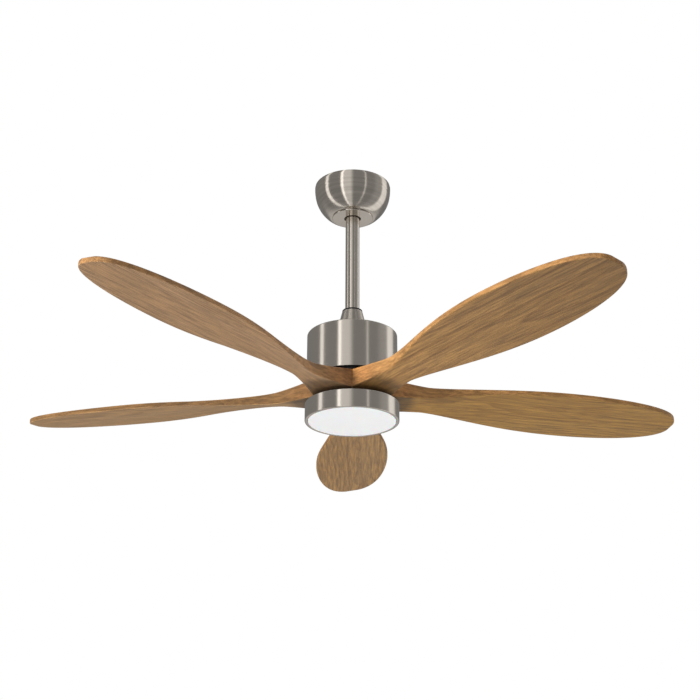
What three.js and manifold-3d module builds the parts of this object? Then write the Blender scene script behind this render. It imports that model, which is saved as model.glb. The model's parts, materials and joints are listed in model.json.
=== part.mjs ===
// A ceiling fan with light: a ball-hung downrod carries an outer-rotor motor in a
// cylindrical metal housing, five carved wooden blades turn under it, and a fixed
// round lamp with an opal lens hangs below the blades on the hollow motor shaft.
// Millimetres, +Z up. The origin is the middle of the hanger bracket's ceiling face,
// so that everything hangs at negative Z.
import * as THREE from "three";
import { mergeVertices } from "three/addons/utils/BufferGeometryUtils.js";
import Module from "manifold-3d";

const wasm = await Module();
wasm.setup();

// ---------------------------------------------------------------- driving sizes

const GAP = 0.35; // clearance between two pieces that touch
const CUT = 1; // how far a cutting tool runs past the face it cuts

// The drop from the ceiling
const HUB_Z = -425; // middle plane of the blade roots

// Downrod: a 3/4 inch steel pipe
const ROD_R = 13.35;
const ROD_WALL = 2.65;
const ROD_BORE_R = ROD_R - ROD_WALL;
const ROD_ABOVE_PIN = 11;

// Hanger ball, on a pin through the rod
const BALL_WALL = 13.65; // the ball's radius over the rod's
const BALL_R = ROD_R + BALL_WALL;
const BALL_Z = -37;
const BALL_BELOW = 20; // from the ball's centre down to its lower flat
const BALL_ABOVE = 17;
const TILT_DEG = 2.5; // how far the ball and the rod may lean, each way
const PIN_R = 3;
const PIN_PLAY = 0.5;
const HANGER_PIN_Z = BALL_Z + 13;
const HANGER_PIN_INSET = 5; // of the pin's ends from the ball's skin
const ROD_TOP_Z = HANGER_PIN_Z + ROD_ABOVE_PIN;

// Hanger bracket
const BRACKET_T = 2.5;
const BRACKET_INSET = 21.2; // of its ends from the canopy's side
const BRACKET_W = 40;
const STRAP_W = 34;
const STRAP_KNEE_Z = -20;
const SEAT_BELOW_BALL = 11; // from the ball's centre
const SEAT_TOP_Z = BALL_Z - SEAT_BELOW_BALL;
const SEAT_T = 3;
const SEAT_RIM = 9; // the seat's radius over the ball's
const SEAT_RING_R = BALL_R + SEAT_RIM;
const STRAP_FOOT_X = SEAT_RING_R - 3;
const ROD_ENTRY_SPARE = 1.5; // each side, for hooking the rod in
const CEILING_SLOT_L = 22;
const CEILING_SLOT_W = 6;
const CEILING_SLOT_AT = 34;
const WIRE_HOLE_R = 8;
const WIRE_HOLE_Y = -29;
const KEY_W = 4;
const KEY_SLOT_W = 6.5;
const KEY_H = 4.5;
const KEY_BITE = 4; // how deep the key reaches into the ball
const KEY_PLAY = 1.6; // left for the ball's lean
const SEAT_HOLE_R = Math.sqrt(BALL_R ** 2 - SEAT_BELOW_BALL ** 2);
const KEY_REACH = SEAT_HOLE_R - KEY_BITE;

// Canopy: a spun bowl with a flat floor, and a disc under it that hides its screws
const CANOPY_R = 73.2;
const CANOPY_RIM_R = CANOPY_R - 0.8;
const CANOPY_TOP_Z = -1;
const CANOPY_H = 65.5;
const CANOPY_WALL = 1.2;
const CANOPY_TURN = 2.6; // the powers that shape the bowl's side
const CANOPY_CORNER = 0.85;
const CANOPY_SCREW_R = 2;
const CANOPY_SCREW_HEAD_R = 3.6;
const CANOPY_SCREW_HEAD_H = 1.1;
const CANOPY_SCREW_AT = SEAT_RING_R - 6;
const TRIM_MARGIN = 9; // of the disc round its screws
const TRIM_R = CANOPY_SCREW_AT + TRIM_MARGIN;
const TRIM_H = 2.6;
const TRIM_WALL = 0.9;
const TRIM_NECK_H = 3; // up through the canopy's hole
const ROD_HOLE_R = ROD_R + 2.65;
const CANOPY_HOLE_R = ROD_HOLE_R + TRIM_WALL + 1.1;
const CANOPY_FLOOR_R = TRIM_R + 4;
const BRACKET_SPAN = 2 * (CANOPY_R - BRACKET_INSET); // tip to tip, both ways

// Motor shaft: hollow, fixed, and carries both bearings and the lamp
const SHAFT_R = 8.5;
const SHAFT_WALL = 3;
const SHAFT_BORE_R = SHAFT_R - SHAFT_WALL;
const SHAFT_IN_LAMP = 13; // how far it hangs below the lamp's top

// Blades: each one is carved and twisted out of one thick plank
const BLADES = 5;
const TIP_R = 660.4; // a 52 inch sweep
const PLANK_T = 34.7;
const BLADE_T = 9;
const HUB_R = 73.4; // where the edges of two neighbours meet
const ROOT_CUT = 28; // flat inner end of each root
const NECK_R = 143;
const NECK_HALF = 25;
const BELLY_R = 436;
const BELLY_HALF = 76;
const THINNING_END_R = 300;
const THINNING_POWER = 1.6;
const ROOT_FLARE = 1.35; // how the blade narrows from its root to its neck
const FULLNESS = 0.72; // how soon it widens outside its neck
const TIP_TURN = 1.95; // the powers that shape the tip
const TIP_CORNER = 0.37;
const EDGE_RISE = 12; // of the leading edge above the blade's middle line
const TIP_RISE = 7.5; // of the middle line at the tip
const TIP_RISE_TURN = 2.3;
const EDGE_CHAMFER = 1.8;
const BLADE_GAP = 0.5; // seam between two roots
const BLADE_SCREW_X = 48;
const BLADE_SCREW_Y = 16;
const BLADE_SCREW_R = 2.4;
const BLADE_SCREW_HEAD_R = 4.2;
const BLADE_SCREW_HEAD_H = 2;
const CLAMP_R = 62;
const CLAMP_T = 2.4;

// Motor housing. From here on, heights count from the hub plane.
const HOUSING_R = 83.7;
const HOUSING_H = 89.8;
const HOUSING_ABOVE_BLADES = 3.15;
const HOUSING_BOTTOM = PLANK_T / 2 + HOUSING_ABOVE_BLADES;
const HOUSING_TOP = HOUSING_BOTTOM + HOUSING_H;
const HOUSING_WALL = 1.5;
const HOUSING_FILLET = 2.5;
const HOUSING_HOLE_R = SHAFT_R + 2.5;

// Coupling between the downrod and the motor shaft
const COLLAR_WALL = 4.95;
const COLLAR_R = ROD_R + COLLAR_WALL;
const COLLAR_TOP = HOUSING_TOP + 38;
const FLANGE_MARGIN = 9.7; // of the flange round the collar
const FLANGE_R = COLLAR_R + FLANGE_MARGIN;
const FLANGE_T = 3.5;
const SOCKET_FLOOR = HOUSING_TOP + 9;
const ROD_ABOVE_FLOOR = 1;
const COUPLING_PIN = HOUSING_TOP + 23;
const COUPLING_PIN_LENGTH = 2 * (COLLAR_R + 3.2);
const COTTER_INSET = 1.6; // of the cotter pin from the coupling pin's end
const COTTER_R = 0.75;
const COTTER_EYE_R = 1.5;
const SET_SCREW = HOUSING_TOP + 32;
const SET_SCREW_R = 2.5;
const SET_SCREW_PROUD = 1.2;
const HOUSING_SCREWS = 3;
const HOUSING_SCREW_AT = (COLLAR_R + FLANGE_R) / 2;
const HOUSING_SCREW_R = 2;
const HOUSING_SCREW_HEAD_R = 3.4;
const HOUSING_SCREW_HEAD_H = 2.2;
const MOUNT_PLATE_R = FLANGE_R + 8;
const MOUNT_PLATE_T = 3.5;

// Cone cover over the coupling, with its rubber ring
const GROMMET_WALL = 2.25;
const GROMMET_NECK_R = ROD_R + GROMMET_WALL;
const GROMMET_FLANGE_R = GROMMET_NECK_R + 3.2;
const GROMMET_T = 2.6;
const GROMMET_NECK_H = 5;
const COVER_TOP_R = GROMMET_FLANGE_R;
const COVER_SHOULDER_R = COVER_TOP_R + 0.6;
const COVER_SHOULDER_H = 1.6; // from the shoulder to the top
const COVER_BASE_R = FLANGE_R + 3;
const COVER_H = 48.1;
const COVER_WALL = 1.5;

// Ball bearings, 17 x 40 x 12
const BEARING_R = SHAFT_R + 11.5;
const BEARING_H = 12;
const RACE_T = 3.4;
const RACE_BITE = 1.3; // how deep the balls sit in each race
const BALLS = 8;
const BALL_GAP = 0.4;
const CAGE_T = 3;

// Rotor: a lower bell that the blades hang from, and an upper cover
const ROTOR_CLEARANCE = 8.2; // inside the housing
const BELL_R = HOUSING_R - HOUSING_WALL - ROTOR_CLEARANCE;
const BELL_WALL = 3;
const BELL_H = 46.3;
const BELL_LOW = PLANK_T / 2 + GAP;
const BELL_TOP = BELL_LOW + BELL_H;
const BELL_HOLE_R = SHAFT_R + 5.5;
const MAGNET_T = 3.5;
const MAGNET_H = 27;
const AIR_GAP = 1.2;

// Stator
const POLES = 12;
const CORE_H = 16;
const CORE_HUB_R = 33;
const POLE_W = 9;
const SHOE_T = 5;
const SHOE_EDGE_T = 3;
const SLOT_MOUTH = 4;
const COIL_T = 3.5;
const COIL_INSET = 2.5; // of the coils from the core's hub
const BUS_RING_W = 4;
const BUS_RING_H = 1.6;

// Lamp
const LAMP_R = 86.2;
const LAMP_BELOW_BLADES = 7.65;
const LAMP_H = 33.8;
const LAMP_TOP = -PLANK_T / 2 - LAMP_BELOW_BLADES;
const LAMP_BOTTOM = LAMP_TOP - LAMP_H;
const LAMP_WALL = 1.5;
const LAMP_LIP_H = 2.3;
const LAMP_LIP_CHAMFER = 0.6;
const LAMP_CORNER = 1.2;
const LAMP_BEZEL = 5.8; // the ring's width round the lens
const LENS_R = LAMP_R - LAMP_BEZEL;
const LENS_INSET = 0.3; // above the ring's lower edge
const LENS_T = 2.4;
const LENS_SKIRT_H = 11;
const LENS_SKIRT_T = 2.2;
const LENS_CORNER = 1.2;
const LED_BOARD_R = LENS_R - 10.4;
const LED_BOARD_T = 1.6;
const LED_BOARD_HOLE_R = SHAFT_BORE_R + 0.5;
const LED_BOARD = LAMP_TOP - 19;
const STANDOFFS = 3;
const STANDOFF_R = 3.5;
const STANDOFF_AT = LED_BOARD_R - 10;
const CLIPS = 3;
const CLIP_W = 10;
const CLIP_T = 0.6;
const CLIP_SETBACK = 1; // of the flat leaf from the round wall
const CLIP_FOOT = 12;
const CLIP_ABOVE_LIP = 1.5; // the leaf's lower end, above the lamp's lip
const CLIP_NOSE_UP = 5; // from the leaf's lower end to its nose
const CLIP_NOSE_DOWN = 4; // from the bend above to the nose
const NUT_R = SHAFT_R + 5.5;
const NUT_H = 6;

// Boxes in the canopy and in the lamp: width, depth and height
const RECEIVER = [66, 22, 20];
const RECEIVER_Y = 40;
const TERMINAL = [36, 12, 10];
const TERMINAL_Y = -46;
const TERMINAL_PITCH = 11;
const TERMINAL_ENTRY_R = 2.2;
const LED_DRIVER = [64, 26, 13];
const LED_DRIVER_Y = 34;

// Round sections: how many sides
const FINE = 32;
const MEDIUM = 20;
const COARSE = 8;
const HEXAGON = 6;

const SECTOR = (2 * Math.PI) / BLADES;

// ---------------------------------------------------------------- materials

const finish = (color, roughness, metalness) =>
  new THREE.MeshStandardMaterial({ color, roughness, metalness });

const NICKEL = finish(0xb4aea4, 0.32, 1);
const STEEL = finish(0xa8a8a6, 0.42, 1);
const DARK_STEEL = finish(0x2c2c2e, 0.55, 0.8);
const LAMINATION = finish(0x6a6a6e, 0.5, 0.9);
const COPPER = finish(0xb06a3c, 0.35, 1);
const MAGNET = finish(0x3a3a3e, 0.6, 0.5);
const WOOD = finish(0xa67b4f, 0.55, 0);
const RUBBER = finish(0x141414, 0.85, 0);
const NYLON = finish(0x1d1d1f, 0.6, 0);
const WHITE_PLASTIC = finish(0xe8e8e6, 0.45, 0);
const OPAL = finish(0xf4f4f4, 0.35, 0);
const ALUMINIUM = finish(0xd6d8da, 0.4, 1);

// ---------------------------------------------------------------- solid helpers

// A closed geometry as a manifold-3d solid.
function solidOf(geometry) {
  const flat = geometry.index ? geometry.toNonIndexed() : geometry;
  const bare = new THREE.BufferGeometry();
  bare.setAttribute("position", flat.getAttribute("position"));
  const merged = mergeVertices(bare, 1e-4);
  return new wasm.Manifold(
    new wasm.Mesh({
      numProp: 3,
      vertProperties: merged.getAttribute("position").array,
      triVerts: new Uint32Array(merged.index.array),
    }),
  );
}

// A manifold-3d solid as a geometry.
function geometryOf(solid) {
  const mesh = solid.getMesh();
  const geometry = new THREE.BufferGeometry();
  const position = new THREE.BufferAttribute(mesh.vertProperties, 3);
  geometry.setAttribute("position", position);
  geometry.setIndex(new THREE.BufferAttribute(mesh.triVerts, 1));
  const faceted = geometry.toNonIndexed();
  faceted.computeVertexNormals();
  return faceted;
}

const joined = (...parts) =>
  geometryOf(parts.map(solidOf).reduce((all, next) => all.add(next)));

function cut(geometry, tools) {
  let solid = solidOf(geometry);
  for (const tool of tools) solid = solid.subtract(solidOf(tool));
  return geometryOf(solid);
}

// Turns a profile of [radius, height] points about Z. A profile that leaves the axis
// free closes on itself.
function turned(profile, sides = FINE) {
  const points = profile.map(([r, z]) => new THREE.Vector2(r, z));
  const area = points.reduce((sum, p, i) => {
    const q = points[(i + 1) % points.length];
    return sum + p.x * q.y - q.x * p.y;
  }, 0);
  if (area < 0) points.reverse();
  if (profile.every(([r]) => r > 0)) points.push(points[0].clone());
  return new THREE.LatheGeometry(points, sides).rotateX(Math.PI / 2);
}

const ring = (inner, outer, low, high, sides = FINE) =>
  turned([[inner, low], [outer, low], [outer, high], [inner, high]], sides);

const disc = (radius, low, high, sides = FINE) =>
  turned([[0, low], [radius, low], [radius, high], [0, high]], sides);

// A plain round bar or drill along x, y or z, centred on a point.
function bar(radius, length, at, axis = "z", sides = COARSE) {
  const geometry = new THREE.CylinderGeometry(radius, radius, length, sides);
  if (axis === "z") geometry.rotateX(Math.PI / 2);
  if (axis === "x") geometry.rotateZ(-Math.PI / 2);
  return geometry.translate(...at);
}

function box(size, at) {
  return new THREE.BoxGeometry(...size).translate(...at);
}

// A box given by its lowest and highest corners.
function block(low, high) {
  const size = high.map((value, i) => value - low[i]);
  const middle = high.map((value, i) => (value + low[i]) / 2);
  return box(size, middle);
}

// Points of an arc as [x, y], from one angle to another in degrees.
function arc(cx, cy, radius, from, to, steps) {
  return Array.from({ length: steps + 1 }, (_, i) => {
    const a = THREE.MathUtils.degToRad(from + ((to - from) * i) / steps);
    return [cx + radius * Math.cos(a), cy + radius * Math.sin(a)];
  });
}

// A pan-head screw that points up, with the under-face of its head at the origin.
function screw(shankR, headR, headH, length, sides = COARSE) {
  return turned(
    [
      [0, -headH],
      [headR * 0.75, -headH],
      [headR, -headH * 0.5],
      [headR, 0],
      [shankR, 0],
      [shankR, length],
      [0, length],
    ],
    sides,
  );
}

// The places of a ring of holes, as [x, y].
const around = (count, radius, first = 0) =>
  Array.from({ length: count }, (_, i) => {
    const a = first + (2 * Math.PI * i) / count;
    return [radius * Math.cos(a), radius * Math.sin(a)];
  });

// ---------------------------------------------------------------- the assembly

const fan = new THREE.Group();
const drop = new THREE.Group(); // everything that is placed from the hub plane
drop.position.z = HUB_Z;
fan.add(drop);

function add(parent, name, geometry, material) {
  const mesh = new THREE.Mesh(geometry, material);
  mesh.name = name;
  parent.add(mesh);
  return mesh;
}

// ---------------------------------------------------------------- hanger bracket

// A strap folded into a hanging loop, crossed by a plate that screws to the ceiling box,
// with a round seat for the ball that is open at the front.
function hangerBracket() {
  const half = BRACKET_SPAN / 2;
  const seatBottom = SEAT_TOP_Z - SEAT_T;
  const loop = (side, top, foot) =>
    [
      [-side, top],
      [-side, STRAP_KNEE_Z],
      [-STRAP_FOOT_X - side + half - BRACKET_T, foot],
      [STRAP_FOOT_X + side - half + BRACKET_T, foot],
      [side, STRAP_KNEE_Z],
      [side, top],
    ].map((point) => new THREE.Vector2(...point));
  const shape = new THREE.Shape(loop(half, 0, seatBottom));
  shape.holes.push(new THREE.Path(loop(half - BRACKET_T, -BRACKET_T, SEAT_TOP_Z)));
  const strap = new THREE.ExtrudeGeometry(shape, { depth: STRAP_W, bevelEnabled: false });
  strap.translate(0, 0, -STRAP_W / 2).rotateX(Math.PI / 2);
  const crossPlate = box([BRACKET_W, BRACKET_SPAN, BRACKET_T], [0, 0, -BRACKET_T / 2]);
  const seat = disc(SEAT_RING_R, seatBottom, SEAT_TOP_Z, MEDIUM);

  const ballRadius = (z) => Math.sqrt(BALL_R ** 2 - (BALL_Z - z) ** 2) + GAP;
  const low = seatBottom - CUT;
  const high = SEAT_TOP_Z + CUT;
  const socket = turned(
    [[0, low], [ballRadius(low), low], [ballRadius(high), high], [0, high]],
    MEDIUM,
  );
  const entryHalf = ROD_R + ROD_ENTRY_SPARE;
  const entry = block([-entryHalf, -SEAT_RING_R - CUT, low], [entryHalf, 0, high]);
  const wireHole = bar(
    WIRE_HOLE_R,
    BRACKET_T + 2 * CUT,
    [0, WIRE_HOLE_Y, -BRACKET_T / 2],
    "z",
    12,
  );
  const tools = [socket, entry, wireHole];
  for (const side of [-1, 1]) {
    const slotSize = [CEILING_SLOT_L, CEILING_SLOT_W, BRACKET_T + 2 * CUT];
    tools.push(box(slotSize, [side * CEILING_SLOT_AT, 0, -BRACKET_T / 2]));
    const screwPlace = [side * CANOPY_SCREW_AT, 0, SEAT_TOP_Z - SEAT_T / 2];
    tools.push(bar(CANOPY_SCREW_R + 2 * GAP, SEAT_T + 2 * CUT, screwPlace));
  }
  return cut(joined(strap, crossPlate, seat), tools);
}

// The ball's bore widens both ways from the pin, so that the rod can lean on it.
function hangerBall() {
  const low = BALL_Z - BALL_BELOW;
  const high = BALL_Z + BALL_ABOVE;
  const lean = Math.tan(THREE.MathUtils.degToRad(TILT_DEG));
  const bore = (z) => ROD_R + GAP + Math.abs(HANGER_PIN_Z - z) * lean;
  const from = THREE.MathUtils.radToDeg(Math.asin(-BALL_BELOW / BALL_R));
  const to = THREE.MathUtils.radToDeg(Math.asin(BALL_ABOVE / BALL_R));
  const ball = turned(
    [
      ...arc(0, BALL_Z, BALL_R, from, to, 6),
      [bore(high), high],
      [bore(HANGER_PIN_Z), HANGER_PIN_Z],
      [bore(low), low],
    ],
    MEDIUM,
  );
  const grooveHalf = PIN_R + PIN_PLAY;
  const pinGroove = block(
    [-grooveHalf, -BALL_R, HANGER_PIN_Z - grooveHalf],
    [grooveHalf, BALL_R, high + CUT],
  );
  const keySlot = block(
    [-KEY_SLOT_W / 2, KEY_REACH - KEY_PLAY, low - CUT],
    [KEY_SLOT_W / 2, BALL_R + CUT, SEAT_TOP_Z + 2 * KEY_H],
  );
  return cut(ball, [pinGroove, keySlot]);
}

function hanging() {
  add(fan, "hanger_bracket", hangerBracket(), STEEL);
  add(fan, "hanger_ball", hangerBall(), NYLON);
  const key = block(
    [-KEY_W / 2, KEY_REACH, SEAT_TOP_Z + GAP],
    [KEY_W / 2, SEAT_RING_R - CUT, SEAT_TOP_Z + KEY_H],
  );
  add(fan, "bracket_key", key, STEEL);
  const skinAtPin = Math.sqrt(BALL_R ** 2 - (HANGER_PIN_Z - BALL_Z) ** 2);
  const pinLength = 2 * (skinAtPin - HANGER_PIN_INSET);
  const pin = bar(PIN_R, pinLength, [0, 0, HANGER_PIN_Z], "y");
  add(fan, "hanger_pin", pin, STEEL);
}

// ---------------------------------------------------------------- canopy

// The bowl's outer radius at a share of its height, 0 at the rim and 1 at the floor.
function canopyRadius(share) {
  const bulge = (1 - share ** CANOPY_TURN) ** CANOPY_CORNER;
  return CANOPY_FLOOR_R + (CANOPY_R - CANOPY_FLOOR_R) * bulge;
}

function canopy() {
  const bottom = CANOPY_TOP_Z - CANOPY_H;
  const heightAt = (share) => CANOPY_TOP_Z - share * CANOPY_H;
  const outer = [0.12, 0.35, 0.55, 0.7, 0.82, 0.91, 0.97, 1].map((share) => [
    canopyRadius(share),
    heightAt(share),
  ]);
  const inner = [0.93, 0.8, 0.6, 0.35, 0.12].map((share) => [
    canopyRadius(share) - CANOPY_WALL * (1 + share),
    heightAt(share),
  ]);
  const bowl = turned([
    [CANOPY_RIM_R, CANOPY_TOP_Z],
    ...outer,
    [CANOPY_HOLE_R, bottom],
    [CANOPY_HOLE_R, bottom + CANOPY_WALL],
    [CANOPY_FLOOR_R - 1, bottom + CANOPY_WALL],
    ...inner,
    [CANOPY_RIM_R - CANOPY_WALL, CANOPY_TOP_Z],
  ]);
  const holes = [-1, 1].map((side) =>
    bar(
      CANOPY_SCREW_R + GAP,
      CANOPY_WALL + 2 * CUT,
      [side * CANOPY_SCREW_AT, 0, bottom + CANOPY_WALL / 2],
    ),
  );
  return cut(bowl, holes);
}

function canopyTrim() {
  const top = CANOPY_TOP_Z - CANOPY_H - GAP;
  const bottom = top - TRIM_H;
  return turned([
    [ROD_HOLE_R, bottom],
    [TRIM_R - 1, bottom],
    [TRIM_R, bottom + 1],
    [TRIM_R, top],
    [TRIM_R - TRIM_WALL, top],
    [TRIM_R - TRIM_WALL, bottom + TRIM_WALL],
    [ROD_HOLE_R + TRIM_WALL, bottom + TRIM_WALL],
    [ROD_HOLE_R + TRIM_WALL, top + TRIM_NECK_H],
    [ROD_HOLE_R, top + TRIM_NECK_H],
  ]);
}

function canopyParts() {
  add(fan, "canopy", canopy(), NICKEL);
  add(fan, "canopy_trim_disc", canopyTrim(), NICKEL);
  const headZ = CANOPY_TOP_Z - CANOPY_H - GAP;
  const length = SEAT_TOP_Z - headZ + CUT;
  [-1, 1].forEach((side, i) => {
    const one = screw(CANOPY_SCREW_R, CANOPY_SCREW_HEAD_R, CANOPY_SCREW_HEAD_H, length);
    const mesh = add(fan, `canopy_screw_${i + 1}`, one, STEEL);
    mesh.position.set(side * CANOPY_SCREW_AT, 0, headZ);
  });
  const under = -BRACKET_T - GAP;
  const receiver = box(RECEIVER, [0, RECEIVER_Y, under - RECEIVER[2] / 2]);
  add(fan, "receiver_box", receiver, NYLON);
  const frontY = TERMINAL_Y - TERMINAL[1] / 2;
  const middleZ = under - TERMINAL[2] / 2;
  const entries = [-TERMINAL_PITCH, 0, TERMINAL_PITCH].map((x) =>
    bar(TERMINAL_ENTRY_R, TERMINAL[1], [x, frontY, middleZ], "y"),
  );
  const strip = cut(box(TERMINAL, [0, TERMINAL_Y, middleZ]), entries);
  add(fan, "terminal_block", strip, WHITE_PLASTIC);
}

// ---------------------------------------------------------------- downrod and coupling

function downrod() {
  const bottom = HUB_Z + SOCKET_FLOOR + ROD_ABOVE_FLOOR;
  const tube = ring(ROD_BORE_R, ROD_R, bottom, ROD_TOP_Z, MEDIUM);
  const across = 2 * ROD_R + 2 * CUT;
  return cut(tube, [
    bar(PIN_R + GAP, across, [0, 0, HANGER_PIN_Z], "y"),
    bar(PIN_R + GAP, across, [0, 0, HUB_Z + COUPLING_PIN], "x"),
  ]);
}

// Drills for the screws that clamp the housing between the coupling and its plate.
const housingDrills = (low, high) =>
  around(HOUSING_SCREWS, HOUSING_SCREW_AT).map(([x, y]) =>
    bar(HOUSING_SCREW_R + GAP, high - low + 2 * CUT, [x, y, (low + high) / 2]),
  );

function coupling() {
  const low = HOUSING_TOP + GAP;
  const body = turned(
    [
      [SHAFT_R + GAP, low],
      [FLANGE_R, low],
      [FLANGE_R, low + FLANGE_T],
      [COLLAR_R, low + FLANGE_T],
      [COLLAR_R, COLLAR_TOP],
      [ROD_R + GAP, COLLAR_TOP],
      [ROD_R + GAP, SOCKET_FLOOR],
      [SHAFT_R + GAP, SOCKET_FLOOR],
    ],
    MEDIUM,
  );
  const drills = housingDrills(low, low + FLANGE_T);
  const across = 2 * COLLAR_R + 2 * CUT;
  drills.push(bar(PIN_R + GAP, across, [0, 0, COUPLING_PIN], "x"));
  drills.push(bar(SET_SCREW_R + GAP, across, [0, 0, SET_SCREW], "y"));
  return cut(body, drills);
}

function couplingParts() {
  add(fan, "downrod", downrod(), NICKEL);
  add(drop, "coupling", coupling(), DARK_STEEL);

  const clipAt = COUPLING_PIN_LENGTH / 2 - COTTER_INSET;
  const pin = bar(PIN_R, COUPLING_PIN_LENGTH, [0, 0, COUPLING_PIN], "x");
  const clipHole = bar(COTTER_R + GAP, 4 * PIN_R, [clipAt, 0, COUPLING_PIN]);
  add(drop, "coupling_pin", cut(pin, [clipHole]), STEEL);
  const leg = bar(COTTER_R, 4 * PIN_R, [clipAt, 0, COUPLING_PIN]);
  const eye = new THREE.TorusGeometry(COTTER_EYE_R, COTTER_R, 5, 8);
  eye.rotateY(Math.PI / 2).translate(clipAt, 0, COUPLING_PIN + 2 * PIN_R + COTTER_R);
  add(drop, "cotter_pin", joined(leg, eye), STEEL);

  [-1, 1].forEach((side, i) => {
    const from = ROD_R + GAP;
    const length = COLLAR_R + SET_SCREW_PROUD - from;
    const middle = side * (from + length / 2);
    const one = bar(SET_SCREW_R, length, [0, middle, SET_SCREW], "y");
    add(drop, `coupling_set_screw_${i + 1}`, one, STEEL);
  });
}

function couplingCover() {
  const low = HOUSING_TOP + GAP;
  const high = low + COVER_H;
  const shoulder = high - COVER_SHOULDER_H;
  const under = high - COVER_WALL;
  return turned(
    [
      [COVER_BASE_R, low],
      [COVER_SHOULDER_R, shoulder],
      [(COVER_SHOULDER_R + COVER_TOP_R) / 2, high - COVER_SHOULDER_H / 4],
      [COVER_TOP_R, high],
      [GROMMET_NECK_R + GAP, high],
      [GROMMET_NECK_R + GAP, under],
      [COVER_TOP_R - COVER_WALL / 2, under],
      [COVER_SHOULDER_R - COVER_WALL, shoulder],
      [COVER_BASE_R - COVER_WALL, low],
    ],
    FINE,
  );
}

function coverParts() {
  add(drop, "coupling_cover", couplingCover(), NICKEL);
  const seat = HOUSING_TOP + GAP + COVER_H + GAP;
  const neckLow = seat - GROMMET_NECK_H;
  const high = seat + GROMMET_T;
  const grommet = turned(
    [
      [ROD_R + GAP, neckLow],
      [GROMMET_NECK_R, neckLow],
      [GROMMET_NECK_R, seat],
      [GROMMET_FLANGE_R, seat],
      [GROMMET_FLANGE_R, high - GROMMET_T / 3],
      [GROMMET_FLANGE_R - GROMMET_T / 3, high],
      [ROD_R + GAP, high],
    ],
    MEDIUM,
  );
  add(drop, "rod_grommet", grommet, RUBBER);
}

// ---------------------------------------------------------------- motor housing

function motorHousing() {
  const inR = HOUSING_R - HOUSING_WALL;
  const inTop = HOUSING_TOP - HOUSING_WALL;
  const shell = turned([
    [HOUSING_R, HOUSING_BOTTOM],
    ...arc(HOUSING_R - HOUSING_FILLET, HOUSING_TOP - HOUSING_FILLET, HOUSING_FILLET, 0, 90, 4),
    [HOUSING_HOLE_R, HOUSING_TOP],
    [HOUSING_HOLE_R, inTop],
    [inR - HOUSING_FILLET, inTop],
    [inR, inTop - HOUSING_FILLET],
    [inR, HOUSING_BOTTOM],
  ]);
  return cut(shell, housingDrills(inTop, HOUSING_TOP));
}

function housingParts() {
  add(drop, "motor_housing", motorHousing(), NICKEL);
  const plateTop = HOUSING_TOP - HOUSING_WALL - GAP;
  const plateLow = plateTop - MOUNT_PLATE_T;
  const blank = ring(SHAFT_R + GAP, MOUNT_PLATE_R, plateLow, plateTop, MEDIUM);
  const plate = cut(blank, housingDrills(plateLow, plateTop));
  add(drop, "motor_mount_plate", plate, STEEL);
  const headZ = HOUSING_TOP + FLANGE_T + 2 * GAP;
  around(HOUSING_SCREWS, HOUSING_SCREW_AT).forEach(([x, y], i) => {
    const length = headZ - plateLow + CUT;
    const one = screw(HOUSING_SCREW_R, HOUSING_SCREW_HEAD_R, HOUSING_SCREW_HEAD_H, length);
    one.rotateX(Math.PI).translate(x, y, headZ);
    add(drop, `housing_screw_${i + 1}`, one, STEEL);
  });
}

// ---------------------------------------------------------------- motor

const LOWER_BEARING = BELL_LOW + BELL_WALL + GAP;
const UPPER_BEARING = BELL_TOP + GAP + BELL_WALL + GAP;
const RACEWAY_R = (SHAFT_R + BEARING_R) / 2;
const RACE_BALL_R = (BEARING_R - SHAFT_R) / 2 - RACE_T + RACE_BITE;

// One bearing: two grooved races, and the cage with its balls between them.
function bearing(name, low) {
  const middle = low + BEARING_H / 2;
  const groove = RACE_BALL_R + BALL_GAP;
  const innerR = SHAFT_R + RACE_T;
  const outerR = BEARING_R - RACE_T;
  const bite = THREE.MathUtils.radToDeg(Math.acos((RACEWAY_R - innerR) / groove));
  const innerGroove = arc(RACEWAY_R, middle, groove, 180 + bite, 180 - bite, 2);
  const outerGroove = arc(RACEWAY_R, middle, groove, bite, -bite, 2);
  const high = low + BEARING_H;
  const inner = turned(
    [[SHAFT_R + GAP, low], [innerR, low], ...innerGroove, [innerR, high], [SHAFT_R + GAP, high]],
    MEDIUM,
  );
  const outer = turned(
    [[BEARING_R, high], [outerR, high], ...outerGroove, [outerR, low], [BEARING_R, low]],
    MEDIUM,
  );
  const cage = ring(
    RACEWAY_R - CAGE_T / 2,
    RACEWAY_R + CAGE_T / 2,
    middle - RACE_BALL_R * 0.6,
    middle + RACE_BALL_R * 0.6,
    MEDIUM,
  );
  const balls = around(BALLS, RACEWAY_R).map(([x, y]) =>
    new THREE.SphereGeometry(RACE_BALL_R, 6, 4).rotateX(Math.PI / 2).translate(x, y, middle),
  );
  add(drop, `${name}_inner_race`, inner, STEEL);
  add(drop, `${name}_outer_race`, outer, STEEL);
  add(drop, `${name}_ball_cage`, joined(cage, ...balls), STEEL);
}

const MAGNET_IN_R = BELL_R - BELL_WALL - GAP - MAGNET_T;
const CORE_R = MAGNET_IN_R - AIR_GAP;
const CORE_LOW = (LOWER_BEARING + BEARING_H + BELL_TOP) / 2 - CORE_H / 2;

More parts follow.
